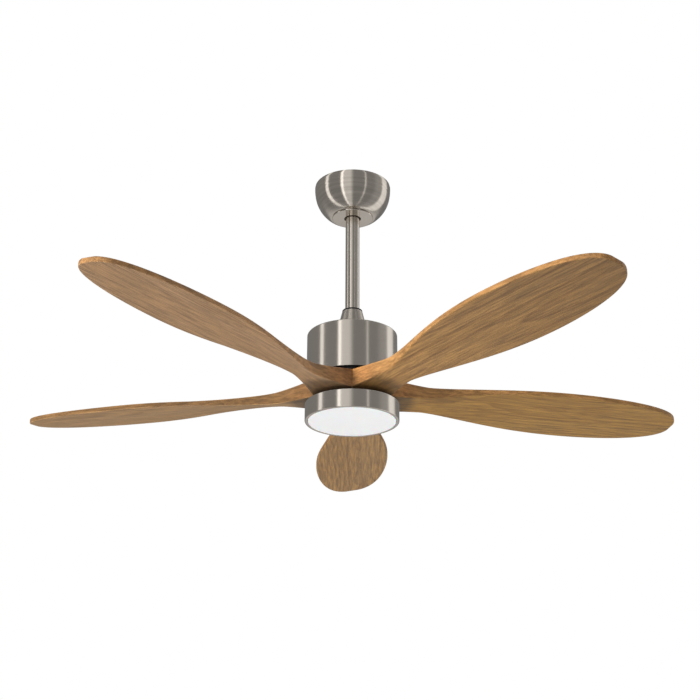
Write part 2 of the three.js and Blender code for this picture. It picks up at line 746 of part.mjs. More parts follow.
// The laminated core: a hub with a ring of T-shaped poles.
function statorCore() {
  const pitch = (2 * Math.PI) / POLES;
  const shoeHalf = pitch / 2 - SLOT_MOUTH / 2 / CORE_R;
  const neckHalf = (r) => Math.asin(POLE_W / 2 / r);
  const shoeIn = CORE_R - SHOE_T;
  const shoeEdge = CORE_R - SHOE_EDGE_T;
  const corners = [
    [CORE_HUB_R, -neckHalf(CORE_HUB_R)],
    [shoeIn, -neckHalf(shoeIn)],
    [shoeEdge, -shoeHalf],
    [CORE_R, -shoeHalf],
    [CORE_R, 0],
    [CORE_R, shoeHalf],
    [shoeEdge, shoeHalf],
    [shoeIn, neckHalf(shoeIn)],
    [CORE_HUB_R, neckHalf(CORE_HUB_R)],
  ];
  const outline = [];
  for (let i = 0; i < POLES; i++) {
    for (const [r, turn] of corners) {
      const a = i * pitch + turn;
      outline.push(new THREE.Vector2(r * Math.cos(a), r * Math.sin(a)));
    }
  }
  const shape = new THREE.Shape(outline);
  shape.holes.push(new THREE.Path().absarc(0, 0, SHAFT_R + GAP, 0, 2 * Math.PI, true));
  const core = new THREE.ExtrudeGeometry(shape, {
    depth: CORE_H,
    bevelEnabled: false,
    curveSegments: 8,
  });
  return core.translate(0, 0, CORE_LOW);
}

// A coil round each pole, joined by the bus ring that the coils' ends run to.
function statorWinding() {
  const from = CORE_HUB_R + COIL_INSET;
  const length = CORE_R - SHOE_T - 1 - from;
  const high = CORE_LOW + CORE_H + COIL_T;
  const middle = [from + length / 2, 0, CORE_LOW + CORE_H / 2];
  const hole = box([length + 2 * CUT, POLE_W + 2 * GAP, CORE_H + 2 * GAP], middle);
  const wound = box([length, POLE_W + 2 * COIL_T, CORE_H + 2 * COIL_T], middle);
  const coil = cut(wound, [hole]);
  const busRing = ring(from + 1, from + 1 + BUS_RING_W, high - 0.5, high + BUS_RING_H, MEDIUM);
  const coils = Array.from({ length: POLES }, (_, i) =>
    coil.clone().rotateZ((i * 2 * Math.PI) / POLES),
  );
  return joined(busRing, ...coils);
}

function rotorBell() {
  const floorTop = BELL_LOW + BELL_WALL;
  const seat = BEARING_R + GAP;
  const bell = turned(
    [
      [BELL_HOLE_R, BELL_LOW],
      [BELL_R, BELL_LOW],
      [BELL_R, BELL_TOP],
      [BELL_R - BELL_WALL, BELL_TOP],
      [BELL_R - BELL_WALL, floorTop],
      [seat + BELL_WALL, floorTop],
      [seat + BELL_WALL, floorTop + BEARING_H],
      [seat, floorTop + BEARING_H],
      [seat, floorTop],
      [BELL_HOLE_R, floorTop],
    ],
    FINE,
  );
  return cut(bell, bladeDrills(BELL_LOW, floorTop));
}

function rotorCover() {
  const low = BELL_TOP + GAP;
  const top = low + BELL_WALL;
  const seat = BEARING_R + GAP;
  return turned(
    [
      [BELL_HOLE_R, low],
      [BELL_R, low],
      [BELL_R, top],
      [seat + BELL_WALL, top],
      [seat + BELL_WALL, top + BEARING_H],
      [seat, top + BEARING_H],
      [seat, top],
      [BELL_HOLE_R, top],
    ],
    FINE,
  );
}

function motorParts() {
  const shaftLow = LAMP_TOP - SHAFT_IN_LAMP;
  const shaftTop = SOCKET_FLOOR - ROD_ABOVE_FLOOR;
  const shaft = ring(SHAFT_BORE_R, SHAFT_R, shaftLow, shaftTop, MEDIUM);
  add(drop, "motor_shaft", shaft, STEEL);
  bearing("lower_bearing", LOWER_BEARING);
  bearing("upper_bearing", UPPER_BEARING);
  add(drop, "stator_core", statorCore(), LAMINATION);
  add(drop, "stator_winding", statorWinding(), COPPER);
  add(drop, "rotor_bell", rotorBell(), DARK_STEEL);
  add(drop, "rotor_cover", rotorCover(), DARK_STEEL);
  const magnetLow = CORE_LOW + CORE_H / 2 - MAGNET_H / 2;
  const magnets = ring(MAGNET_IN_R, MAGNET_IN_R + MAGNET_T, magnetLow, magnetLow + MAGNET_H);
  add(drop, "magnet_ring", magnets, MAGNET);
}

// ---------------------------------------------------------------- blades

const JUNCTION_X = HUB_R * Math.cos(SECTOR / 2);
const JUNCTION_Y = HUB_R * Math.sin(SECTOR / 2);

// Half the blade's width at a distance from the axis.
function bladeHalfWidth(x) {
  if (x <= JUNCTION_X) return x * Math.tan(SECTOR / 2);
  if (x < NECK_R) {
    const toNeck = (x - JUNCTION_X) / (NECK_R - JUNCTION_X);
    return NECK_HALF + (JUNCTION_Y - NECK_HALF) * (1 - toNeck) ** ROOT_FLARE;
  }
  if (x < BELLY_R) {
    const toBelly = ((x - NECK_R) / (BELLY_R - NECK_R)) ** FULLNESS;
    const widened = (1 - Math.cos(Math.PI * toBelly)) / 2;
    return NECK_HALF + (BELLY_HALF - NECK_HALF) * widened;
  }
  return BELLY_HALF * tipShare(x);
}

// The share of the blade's full width that the rounded tip leaves.
function tipShare(x) {
  const toTip = THREE.MathUtils.clamp((x - BELLY_R) / (TIP_R - BELLY_R), 0, 1);
  return (1 - toTip ** TIP_TURN) ** TIP_CORNER;
}

// The share of the plank's surplus thickness that is carved away.
function carved(x) {
  const out = THREE.MathUtils.clamp((x - JUNCTION_X) / (THINNING_END_R - JUNCTION_X), 0, 1);
  return 1 - (1 - out) ** THINNING_POWER;
}

// One cross-section as [x, y, z] points, going round from the leading edge, which is
// at negative y and is the higher one.
function bladeSection(x) {
  const half = Math.max(bladeHalfWidth(x) - BLADE_GAP / 2, 2 * EDGE_CHAMFER);
  const thick = PLANK_T - (PLANK_T - BLADE_T) * carved(x);
  const lift = EDGE_RISE * carved(x) * tipShare(x);
  const outward = Math.max(0, (x - JUNCTION_X) / (TIP_R - JUNCTION_X));
  const middle = TIP_RISE * outward ** TIP_RISE_TURN;
  const at = (y, up) => [x, y, middle - (lift * y) / half + up];
  const flat = half - EDGE_CHAMFER;
  const face = thick / 2;
  const edge = face - EDGE_CHAMFER;
  return [
    at(-half, edge),
    at(-flat, face),
    at(flat, face),
    at(half, edge),
    at(half, -edge),
    at(flat, -face),
    at(-flat, -face),
    at(-half, -edge),
  ];
}

// Stations along the blade, closer where the outline turns.
function bladeStations() {
  const between = (from, to, shares) => shares.map((share) => from + share * (to - from));
  return [
    ROOT_CUT,
    ...between(JUNCTION_X, NECK_R, [0, 0.18, 0.4, 0.7]),
    ...between(NECK_R, BELLY_R, [0, 0.12, 0.28, 0.47, 0.7]),
    ...between(BELLY_R, TIP_R, [0, 0.38, 0.64, 0.81, 0.92, 0.98, 1]),
  ];
}

// A skin through the sections, closed at both ends.
function lofted(sections) {
  const sides = sections[0].length;
  const points = sections.flat(2);
  const index = [];
  for (let i = 0; i + 1 < sections.length; i++) {
    for (let j = 0; j < sides; j++) {
      const a = i * sides + j;
      const b = i * sides + ((j + 1) % sides);
      index.push(a, a + sides, b, b, a + sides, b + sides);
    }
  }
  const last = (sections.length - 1) * sides;
  for (let j = 1; j + 1 < sides; j++) {
    index.push(0, j, j + 1, last, last + j + 1, last + j);
  }
  const geometry = new THREE.BufferGeometry();
  geometry.setAttribute("position", new THREE.Float32BufferAttribute(points, 3));
  geometry.setIndex(index);
  return geometry;
}

const SCREW_PLACES = [-BLADE_SCREW_Y, BLADE_SCREW_Y];

// Drills for the screws of one blade that points along x, through a layer.
const oneBladesDrills = (low, high) =>
  SCREW_PLACES.map((y) => {
    const at = [BLADE_SCREW_X, y, (low + high) / 2];
    return bar(BLADE_SCREW_R + GAP, high - low + 2 * CUT, at, "z", HEXAGON);
  });

// The first blade points straight back, and the others follow anticlockwise.
const bladeTurn = (i) => Math.PI / 2 + i * SECTOR;

// Drills for the screws of every blade.
const bladeDrills = (low, high) =>
  Array.from({ length: BLADES }, (_, i) =>
    oneBladesDrills(low, high).map((drill) => drill.rotateZ(bladeTurn(i))),
  ).flat();

function blade() {
  const plain = lofted(bladeStations().map(bladeSection));
  return cut(plain, oneBladesDrills(-PLANK_T / 2, PLANK_T / 2));
}

function bladeParts() {
  const carvedBlade = blade();
  const clampTop = -PLANK_T / 2 - GAP;
  const clampLow = clampTop - CLAMP_T;
  const headZ = clampLow - GAP;
  const length = BELL_LOW + BELL_WALL - headZ;
  for (let i = 0; i < BLADES; i++) {
    const one = add(drop, `blade_${i + 1}`, carvedBlade, WOOD);
    one.rotation.z = bladeTurn(i);
    SCREW_PLACES.forEach((y, j) => {
      const bolt = screw(
        BLADE_SCREW_R,
        BLADE_SCREW_HEAD_R,
        BLADE_SCREW_HEAD_H,
        length,
        HEXAGON,
      ).translate(BLADE_SCREW_X, y, headZ);
      const mesh = add(drop, `blade_screw_${2 * i + j + 1}`, bolt, STEEL);
      mesh.rotation.z = bladeTurn(i);
    });
  }
  const plate = ring(BELL_HOLE_R, CLAMP_R, clampLow, clampTop, MEDIUM);
  const drills = bladeDrills(clampLow, clampTop);
  add(drop, "blade_clamp_plate", cut(plate, drills), DARK_STEEL);
}

// ---------------------------------------------------------------- lamp

// The under-face of the lamp housing's top, less a clearance.
const LAMP_CEILING = LAMP_TOP - LAMP_WALL - GAP;

function lampHousing() {
  const inR = LAMP_R - LAMP_WALL;
  const lipR = LENS_R + GAP;
  const lipTop = LAMP_BOTTOM + LAMP_LIP_H;
  return turned([
    [SHAFT_R + GAP, LAMP_TOP - LAMP_WALL],
    [inR, LAMP_TOP - LAMP_WALL],
    [inR, lipTop],
    [lipR, lipTop],
    [lipR, LAMP_BOTTOM + LAMP_LIP_CHAMFER],
    [lipR + LAMP_LIP_CHAMFER, LAMP_BOTTOM],
    [LAMP_R - LAMP_CORNER, LAMP_BOTTOM],
    [LAMP_R, LAMP_BOTTOM + LAMP_CORNER],
    [LAMP_R, LAMP_TOP - LAMP_CORNER],
    [LAMP_R - LAMP_CORNER, LAMP_TOP],
    [SHAFT_R + GAP, LAMP_TOP],
  ]);
}

function lens() {
  const bottom = LAMP_BOTTOM + LENS_INSET;
  const skirtTop = bottom + LENS_SKIRT_H;
  const skirtIn = LENS_R - LENS_SKIRT_T;
  return turned([
    [0, bottom],
    [LENS_R - LENS_CORNER, bottom],
    [LENS_R, bottom + LENS_CORNER],
    [LENS_R, skirtTop],
    [skirtIn, skirtTop],
    [skirtIn, bottom + LENS_T],
    [0, bottom + LENS_T],
  ]);
}

function ledBoard() {
  const underside = LED_BOARD - LED_BOARD_T;
  const plate = ring(LED_BOARD_HOLE_R, LED_BOARD_R, underside, LED_BOARD);
  const length = LAMP_CEILING - underside;
  const posts = around(STANDOFFS, STANDOFF_AT, -Math.PI / 2).map(([x, y]) =>
    bar(STANDOFF_R, length, [x, y, LAMP_CEILING - length / 2]),
  );
  return joined(plate, ...posts);
}

// A leaf spring between the lamp's wall and the lens's skirt, with a nose that bears
// on the skirt.
function lensClip() {
  const wall = LAMP_R - LAMP_WALL - CLIP_SETBACK;
  const face = wall - CLIP_T;
  const foot = wall - CLIP_FOOT;
  const nose = LENS_R + GAP;
  const low = LAMP_BOTTOM + LAMP_LIP_H + CLIP_ABOVE_LIP;
  const noseZ = low + CLIP_NOSE_UP;
  const bendZ = noseZ + CLIP_NOSE_DOWN;
  const outline = [
    [foot, LAMP_CEILING - CLIP_T],
    [face, LAMP_CEILING - CLIP_T],
    [face, bendZ],
    [nose, noseZ],
    [face, low],
    [wall, low],
    [nose + CLIP_T, noseZ],
    [wall, bendZ],
    [wall, LAMP_CEILING],
    [foot, LAMP_CEILING],
  ];
  const shape = new THREE.Shape(outline.map((point) => new THREE.Vector2(...point)));
  const strip = new THREE.ExtrudeGeometry(shape, { depth: CLIP_W, bevelEnabled: false });
  return strip.translate(0, 0, -CLIP_W / 2).rotateX(Math.PI / 2);
}

function lampParts() {
  add(drop, "lamp_housing", lampHousing(), NICKEL);
  add(drop, "lens", lens(), OPAL);
  add(drop, "led_board", ledBoard(), ALUMINIUM);
  const driver = box(LED_DRIVER, [0, LED_DRIVER_Y, LAMP_CEILING - LED_DRIVER[2] / 2]);
  add(drop, "led_driver", driver, WHITE_PLASTIC);
  const nutAt = [0, 0, LAMP_CEILING - NUT_H / 2];
  const bore = bar(SHAFT_R + GAP, NUT_H + 2 * CUT, nutAt, "z", MEDIUM);
  const nut = cut(disc(NUT_R, LAMP_CEILING - NUT_H, LAMP_CEILING, HEXAGON), [bore]);
  add(drop, "shaft_nut", nut, STEEL);
  for (let i = 0; i < CLIPS; i++) {
    const clip = add(drop, `lens_clip_${i + 1}`, lensClip(), STEEL);
    clip.rotation.z = Math.PI / 6 + (i * 2 * Math.PI) / CLIPS;
  }
}

hanging();
canopyParts();
couplingParts();
coverParts();
housingParts();
motorParts();
bladeParts();
lampParts();

export default fan;
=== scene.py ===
"""Finishes a ceiling fan with a light: brushed nickel, carved wooden blades and an opal lens.

Everything is in metres, +Z up, around the fan's own frame: the origin is in the ceiling's
plane, on the downrod's axis, and the front of the fan faces -Y.
"""

import json
import math

import bmesh
import bpy
from bpy.props import FloatProperty, FloatVectorProperty, IntProperty, PointerProperty
from mathutils import Matrix, Vector


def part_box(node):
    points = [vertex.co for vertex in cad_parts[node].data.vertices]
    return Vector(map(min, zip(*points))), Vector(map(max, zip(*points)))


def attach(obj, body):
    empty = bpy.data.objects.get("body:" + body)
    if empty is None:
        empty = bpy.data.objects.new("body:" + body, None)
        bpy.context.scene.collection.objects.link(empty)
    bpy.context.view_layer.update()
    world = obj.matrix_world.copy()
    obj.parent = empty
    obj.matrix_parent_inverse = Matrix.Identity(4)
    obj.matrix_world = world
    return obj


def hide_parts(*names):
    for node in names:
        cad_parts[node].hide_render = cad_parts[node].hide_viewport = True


bl_info = {
    "name": "Ceiling Fan",
    "version": (1, 0, 0),
    "blender": (4, 5, 0),
    "location": "3D View > Sidebar > Ceiling Fan",
    "description": "Finishes a ceiling fan with carved wooden blades and a round lamp",
    "category": "Object",
}

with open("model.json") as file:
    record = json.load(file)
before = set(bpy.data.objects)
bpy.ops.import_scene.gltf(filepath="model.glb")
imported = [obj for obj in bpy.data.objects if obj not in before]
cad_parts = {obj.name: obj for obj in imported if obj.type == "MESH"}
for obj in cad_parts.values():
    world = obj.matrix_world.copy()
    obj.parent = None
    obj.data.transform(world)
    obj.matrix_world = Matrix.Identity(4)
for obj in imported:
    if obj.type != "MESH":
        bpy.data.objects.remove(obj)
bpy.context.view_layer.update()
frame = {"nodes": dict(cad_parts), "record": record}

MM = 0.001
GAP = 0.35 * MM  # clearance between two pieces that touch
BLADES = 5
SECTOR = 2 * math.pi / BLADES
SHARP_TURN = math.radians(32)  # faces that meet at more keep a sharp edge between them
FILLET_REACH = 0.49  # the most of a side's length that one fillet may take
ON_AXIS = 1e-6  # a smaller radius is a point on the axis


# ---------------------------------------------------------------- sizes from the frame


def low(node):
    """The lowest height of a CAD node."""
    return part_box(node)[0].z


def high(node):
    """The greatest height of a CAD node."""
    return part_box(node)[1].z


def radius_of(node):
    """The outer radius of a CAD node that is round about the fan's axis."""
    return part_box(node)[1].x


PLANK_LOW = high("blade_clamp_plate") + GAP
PLANK_HIGH = low("rotor_bell") - GAP
PLANK_T = PLANK_HIGH - PLANK_LOW
HUB_Z = (PLANK_LOW + PLANK_HIGH) / 2
TIP_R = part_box("blade_1")[1].y
ROD_R = radius_of("downrod")
SHAFT_R = radius_of("motor_shaft")


# ---------------------------------------------------------------- settings


class CeilingFanMetal(bpy.types.PropertyGroup):
    """Colours and finish of the metal."""

    nickel: FloatVectorProperty(
        name="Nickel",
        description="Colour of the brushed nickel",
        subtype="COLOR",
        size=3,
        min=0,
        max=1,
        default=(0.74, 0.675, 0.595),
    )
    nickel_roughness: FloatProperty(
        name="Nickel Roughness",
        description="How blurred the brushed nickel's reflections are",
        subtype="FACTOR",
        min=0,
        max=1,
        default=0.2,
    )
    brushing: FloatProperty(
        name="Brushing",
        description="Strength of the fine lines that run round the nickel",
        subtype="FACTOR",
        min=0,
        max=1,
        default=0.5,
    )
    corner: FloatProperty(
        name="Corner",
        description="Radius of the rolled corners of the sheet metal",
        unit="LENGTH",
        min=0,
        default=1.2 * MM,
    )


class CeilingFanWood(bpy.types.PropertyGroup):
    """Colours and shape of the carved blades."""

    early: FloatVectorProperty(
        name="Early Wood",
        description="Colour of the wood between its growth lines",
        subtype="COLOR",
        size=3,
        min=0,
        max=1,
        default=(0.365, 0.215, 0.094),
    )
    late: FloatVectorProperty(
        name="Late Wood",
        description="Colour of the wood's growth lines",
        subtype="COLOR",
        size=3,
        min=0,
        max=1,
        default=(0.165, 0.08, 0.030),
    )
    grey: FloatVectorProperty(
        name="Pale Wood",
        description="Colour of the wood's paler and greyer stretches",
        subtype="COLOR",
        size=3,
        min=0,
        max=1,
        default=(0.40, 0.25, 0.13),
    )
    edge: FloatVectorProperty(
        name="Edge Wood",
        description="Colour of the wood that the carved edges lay bare",
        subtype="COLOR",
        size=3,
        min=0,
        max=1,
        default=(0.39, 0.195, 0.068),
    )
    edge_radius: FloatProperty(
        name="Edge Radius",
        description="Radius of the blades' sanded edges",
        unit="LENGTH",
        min=0.2 * MM,
        default=2.0 * MM,
    )
    stations: IntProperty(
        name="Stations",
        description="Number of cross-sections along one blade",
        min=20,
        default=150,
    )


class CeilingFanLamp(bpy.types.PropertyGroup):
    """Colours of the lamp."""

    lens: FloatVectorProperty(
        name="Lens",
        description="Colour of the opal lens",
        subtype="COLOR",
        size=3,
        min=0,
        max=1,
        default=(0.94, 0.94, 0.94),
    )
    chip: FloatVectorProperty(
        name="LED Chip",
        description="Colour of the unlit LED chips",
        subtype="COLOR",
        size=3,
        min=0,
        max=1,
        default=(0.85, 0.62, 0.10),
    )
    chips: IntProperty(
        name="LED Chips",
        description="Number of LED chips on the outermost ring of the board",
        min=6,
        default=24,
    )


class CeilingFanStudio(bpy.types.PropertyGroup):
    """Light, floor and camera of the studio."""

    key_power: FloatProperty(
        name="Key Light",
        description="Power of the soft light on the left",
        unit="POWER",
        min=0,
        default=640,
    )
    below_power: FloatProperty(
        name="Lower Light",
        description="Power of the broad light under the fan",
        unit="POWER",
        min=0,
        default=86,
    )
    top_power: FloatProperty(
        name="Top Light",
        description="Power of the broad light over the fan",
        unit="POWER",
        min=0,
        default=60,
    )
    backdrop: FloatVectorProperty(
        name="Floor",
        description="Colour of the floor",
        subtype="COLOR",
        size=3,
        min=0,
        max=1,
        default=(0.80, 0.80, 0.79),
    )
    focal_length: FloatProperty(
        name="Focal Length",
        description="Focal length of the camera, in millimetres",
        min=10,
        default=68.87,
    )


def settings(context, part):
    """One of the fan's groups of settings."""
    return getattr(context.scene, "ceiling_fan_" + part)


# ---------------------------------------------------------------- mesh helpers


def piece(name, mesh, material, body, node=None):
    """A finished mesh as a piece that rides on a body, and may stand for a CAD node."""
    obj = bpy.data.objects.new(name, mesh)
    bpy.context.scene.collection.objects.link(obj)
    mesh.materials.append(material)
    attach(obj, body)
    if node:
        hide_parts(node)
    return obj


def mesh_from(name, build):
    """A new mesh that build(bm) fills, with its faces turned outward and shaded smooth."""
    bm = bmesh.new()
    build(bm)
    bmesh.ops.recalc_face_normals(bm, faces=bm.faces)
    mesh = bpy.data.meshes.new(name)
    bm.to_mesh(mesh)
    bm.free()
    mesh.shade_smooth()
    mesh.set_sharp_from_angle(angle=SHARP_TURN)
    return mesh


def rounded(corners, steps=5):
    """The outline through corners of (radius, height, fillet), with an arc at each fillet."""
    outline = []
    for i, (r, z, fillet) in enumerate(corners):
        here = Vector((r, z))
        if fillet <= 0:
            outline.append(here)
            continue
        back = Vector(corners[i - 1][:2]) - here
        on = Vector(corners[(i + 1) % len(corners)][:2]) - here
        half = back.angle(on) / 2
        reach = min(fillet / math.tan(half), FILLET_REACH * min(back.length, on.length))
        centre = here + (back.normalized() + on.normalized()).normalized() * (
            reach / math.cos(half)
        )
        first = here + back.normalized() * reach - centre
        last = here + on.normalized() * reach - centre
        start = math.atan2(first.y, first.x)
        turn = (math.atan2(last.y, last.x) - start + math.pi) % (2 * math.pi) - math.pi
        for step in range(steps + 1):
            a = start + turn * step / steps
            outline.append(centre + Vector((math.cos(a), math.sin(a))) * first.length)
    return outline


def lathe(name, outline, segments=192):
    """A closed outline of (radius, height) points turned about the fan's axis."""

    def build(bm):
        rows = []
        for r, z in outline:
            if r < ON_AXIS:
                pole = bm.verts.new((0, 0, z))
                rows.append([pole] * segments)
                continue
            rows.append(
                [
                    bm.verts.new((r * math.cos(a), r * math.sin(a), z))
                    for a in (2 * math.pi * k / segments for k in range(segments))
                ]
            )
        for i, row in enumerate(rows):
            below = rows[(i + 1) % len(rows)]
            if row[0] is row[1] and below[0] is below[1]:
                continue
            for k in range(segments):
                n = (k + 1) % segments
                corners = []
                for vert in (row[k], row[n], below[n], below[k]):
                    if vert not in corners:
                        corners.append(vert)
                bm.faces.new(corners)

    return mesh_from(name, build)


def turned(name, corners, material, body, node, segments=192, steps=5):
    """A piece with rounded corners, turned about the fan's axis, for a CAD node.

    Weighted normals keep its large flat faces flat where they meet small fillets.
    """
    mesh = lathe(node, rounded(corners, steps), segments)
    obj = piece(name, mesh, material, body, node)
    modifier = obj.modifiers.new("Weighted Normal", "WEIGHTED_NORMAL")
    modifier.keep_sharp = True


# ---------------------------------------------------------------- material helpers


class Nodes:
    """A material's or a world's node tree, with short calls that add and link nodes."""

    def __init__(self, owner):
        owner.use_nodes = True
        self.tree = owner.node_tree

    def add(self, kind, inputs=(), **options):
        """A new node with its options and its inputs, which are values or sockets."""
        node = self.tree.nodes.new(kind)
        for option, value in options.items():
            setattr(node, option, value)
        for key, value in dict(inputs).items():
            if isinstance(value, bpy.types.NodeSocket):
                self.tree.links.new(value, node.inputs[key])
            else:
                node.inputs[key].default_value = value
        return node

    def math(self, operation, *values):
        """The result of a Math node."""
        inputs = dict(enumerate(values))
        return self.add("ShaderNodeMath", inputs, operation=operation).outputs[0]

    def vector(self, operation, *values):
        """The vector that a Vector Math node gives."""
        inputs = dict(enumerate(values))
        return self.add("ShaderNodeVectorMath", inputs, operation=operation).outputs[0]

    def scaled(self, vector, factor):
        """A vector times a number."""
        inputs = {0: vector, "Scale": factor}
        return self.add("ShaderNodeVectorMath", inputs, operation="SCALE").outputs[0]

    def height(self, vector):
        """The Z of a place or of a normal."""
        return self.add("ShaderNodeSeparateXYZ", {0: vector}).outputs[2]

    def off_axis(self, place, axis):
        """How far a place is from its own X or Z axis."""
        across = tuple(float(name != axis) for name in "XYZ")
        flat = self.vector("MULTIPLY", place, across)
        return self.add("ShaderNodeVectorMath", {0: flat}, operation="LENGTH").outputs[1]

    def noise(self, vector, scale, detail=2.0, roughness=0.5):
        """The value of a Noise texture, with its scale in cells to the vector's unit."""
        inputs = {
            "Vector": vector,
            "Scale": scale,
            "Detail": detail,
            "Roughness": roughness,
        }
        return self.add("ShaderNodeTexNoise", inputs).outputs[0]

    def spread(self, value, start, end, low_out=0.0, high_out=1.0):
        """A value moved from one range to another, and held inside it."""
        inputs = {0: value, 1: start, 2: end, 3: low_out, 4: high_out}
        return self.add("ShaderNodeMapRange", inputs).outputs[0]

    def mix(self, factor, a, b, blend="MIX"):
        """Two colours mixed."""
        node = self.add(
            "ShaderNodeMix", {0: factor, 6: a, 7: b}, data_type="RGBA", blend_type=blend
        )
        return node.outputs[2]

    def bump(self, height, strength, distance):
        """The normal that a height gives."""
        inputs = {"Height": height, "Strength": strength, "Distance": distance}
        return self.add("ShaderNodeBump", inputs).outputs[0]


def opaque(color):
    """A colour with its alpha."""
    return (*color, 1.0)


def darker(color, share):
    """A colour with a share of its light taken off."""
    return tuple(channel * (1.0 - share) for channel in color)


def new_material(name, **fixed):
    """A material, its nodes, its shader and its object coordinates."""
    material = bpy.data.materials.new(name)
    nodes = Nodes(material)
    shader = nodes.tree.nodes["Principled BSDF"]
    for socket, value in fixed.items():
        shader.inputs[socket.replace("_", " ")].default_value = value
    place = nodes.add("ShaderNodeTexCoord").outputs["Object"]
    return material, nodes, shader, place


def set_shader(nodes, shader, **sockets):
    """Links sockets of a shader, named with _ for a space."""
    for name, value in sockets.items():
        nodes.tree.links.new(value, shader.inputs[name.replace("_", " ")])


def made_once(maker):
    """Keeps the material that a maker gives, so that every piece shares it."""
    kept = {}

    def maker_once(*args):
        if args not in kept:
            kept[args] = maker(*args)
        return kept[args]

    return maker_once


# ---------------------------------------------------------------- metal

# How each finish of the nickel differs from the brushed one: what it adds to the
# roughness, its brightness, and the share that it keeps of the brushing's relief.
NICKEL_FINISHES = {
    "brushed": (0.0, 1.0, 1.0),
    "spun": (-0.05, 1.0, 1.0),
    "satin": (0.16, 0.9, 1.0),
    "drawn": (0.0, 1.0, 0.0),
}
# Lines across the nickel: how many to the metre, and how often they break off as they
# run round.
FINE_LINES = (2200.0, 1.6)
COARSE_LINES = (420.0, 0.8)
SPUN_RINGS = (130.0, 0.3)
LINE_DEPTH = 0.03 * MM
LINE_BUMP = 0.05  # strength of the bump at full brushing
RADIUS_SHARE = 0.7  # of a step outward in a step up, so that level faces have lines too


@made_once
def brushed_nickel(finish="brushed"):
    """Nickel with fine lines round the axis, which draw its highlights out along it.

    The canopy's spun finish has broader rings too, the cone's satin one is duller, and
    the downrod's drawn one has no relief.
    """
    rougher, bright, relief_share = NICKEL_FINISHES[finish]
    metal = settings(bpy.context, "metal")
    material, nodes, shader, place = new_material(
        f"{finish}_nickel", Metallic=1.0, Anisotropic=0.85, Anisotropic_Rotation=0.25
    )
    around = nodes.vector("NORMALIZE", nodes.vector("MULTIPLY", place, (1.0, 1.0, 0.0)))
    radius = nodes.off_axis(place, "Z")
    across = nodes.math("MULTIPLY_ADD", radius, RADIUS_SHARE, nodes.height(place))

    def lines(per_metre, breaks):
        step = nodes.math("MULTIPLY", across, per_metre)
        up = nodes.add("ShaderNodeCombineXYZ", {2: step}).outputs[0]
        return nodes.noise(nodes.vector("ADD", nodes.scaled(around, breaks), up), 1.0, 3.0, 0.6)

    cloud = nodes.noise(place, 14.0, 3.0)
    coarse = nodes.math("MULTIPLY", lines(*COARSE_LINES), 0.5)
    both = nodes.math("ADD", lines(*FINE_LINES), coarse)
    shade = nodes.math("MULTIPLY", nodes.spread(both, 0.5, 1.0, 0.93, 1.0), bright)
    if finish == "spun":
        rings = nodes.spread(lines(*SPUN_RINGS), 0.38, 0.62, 0.84, 1.03)
        shade = nodes.math("MULTIPLY", shade, rings)
    tinted = nodes.mix(1.0, opaque(metal.nickel), shade, "MULTIPLY")
    dull = opaque(darker(metal.nickel, 0.12))
    blur = metal.nickel_roughness + rougher
    relief = metal.brushing * LINE_BUMP * relief_share
    set_shader(
        nodes,
        shader,
        Base_Color=nodes.mix(nodes.spread(cloud, 0.45, 0.75, 0.0, 0.35), tinted, dull),
        Roughness=nodes.spread(both, 0.5, 1.0, blur - 0.03, blur + 0.05),
        Normal=nodes.bump(both, relief, LINE_DEPTH),
        Tangent=nodes.add("ShaderNodeTangent", direction_type="RADIAL", axis="Z").outputs[0],
    )
    return material


def worked_metal(name, color, roughness, wear, grain=900.0):
    """A metal with a fine cast or rolled grain, and darker stains."""
    material, nodes, shader, place = new_material(name, Metallic=1.0)
    fine = nodes.noise(place, grain, 4.0, 0.65)
    cloud = nodes.noise(place, 60.0, 4.0, 0.55)
    dull = opaque(darker(color, wear))
    base = nodes.mix(nodes.spread(cloud, 0.35, 0.7), opaque(color), dull)
    set_shader(
        nodes,
        shader,
        Base_Color=base,
        Roughness=nodes.spread(fine, 0.3, 0.7, roughness - 0.07, roughness + 0.1),
        Normal=nodes.bump(fine, 0.25, 0.04 * MM),
    )
    return material


@made_once
def zinc_steel():
    """Bright zinc-plated steel."""
    return worked_metal("zinc_steel", (0.62, 0.63, 0.63), 0.33, 0.22)


SHEETS_TO_METRE = 2000.0
WIRE_PITCH = 0.7 * MM


@made_once
def lamination_steel():
    """The stacked sheets of the stator's core, seen as thin level lines."""
    material, nodes, shader, place = new_material("lamination_steel", Metallic=1.0)
    sheet = nodes.math("FRACT", nodes.math("MULTIPLY", nodes.height(place), SHEETS_TO_METRE))
    joint = nodes.spread(nodes.math("ABSOLUTE", nodes.math("SUBTRACT", sheet, 0.5)), 0.3, 0.5)
    stain = nodes.noise(place, 150.0, 4.0)
    base = nodes.mix(joint, (0.42, 0.42, 0.44, 1.0), (0.16, 0.15, 0.15, 1.0))
    rusty = nodes.mix(nodes.spread(stain, 0.5, 0.8, 0.0, 0.4), base, (0.26, 0.2, 0.16, 1.0))
    set_shader(
        nodes,
        shader,
        Base_Color=rusty,
        Roughness=nodes.spread(stain, 0.3, 0.7, 0.4, 0.6),
        Normal=nodes.bump(joint, 0.4, -0.1 * MM),
    )
    return material


@made_once
def aluminium():
    """The bare back of the LED board."""
    return worked_metal("aluminium", (0.80, 0.81, 0.82), 0.36, 0.1, 500.0)


@made_once
def magnet():
    """Dull grey sintered magnet."""
    return worked_metal("magnet", (0.13, 0.13, 0.14), 0.6, 0.35, 1400.0)


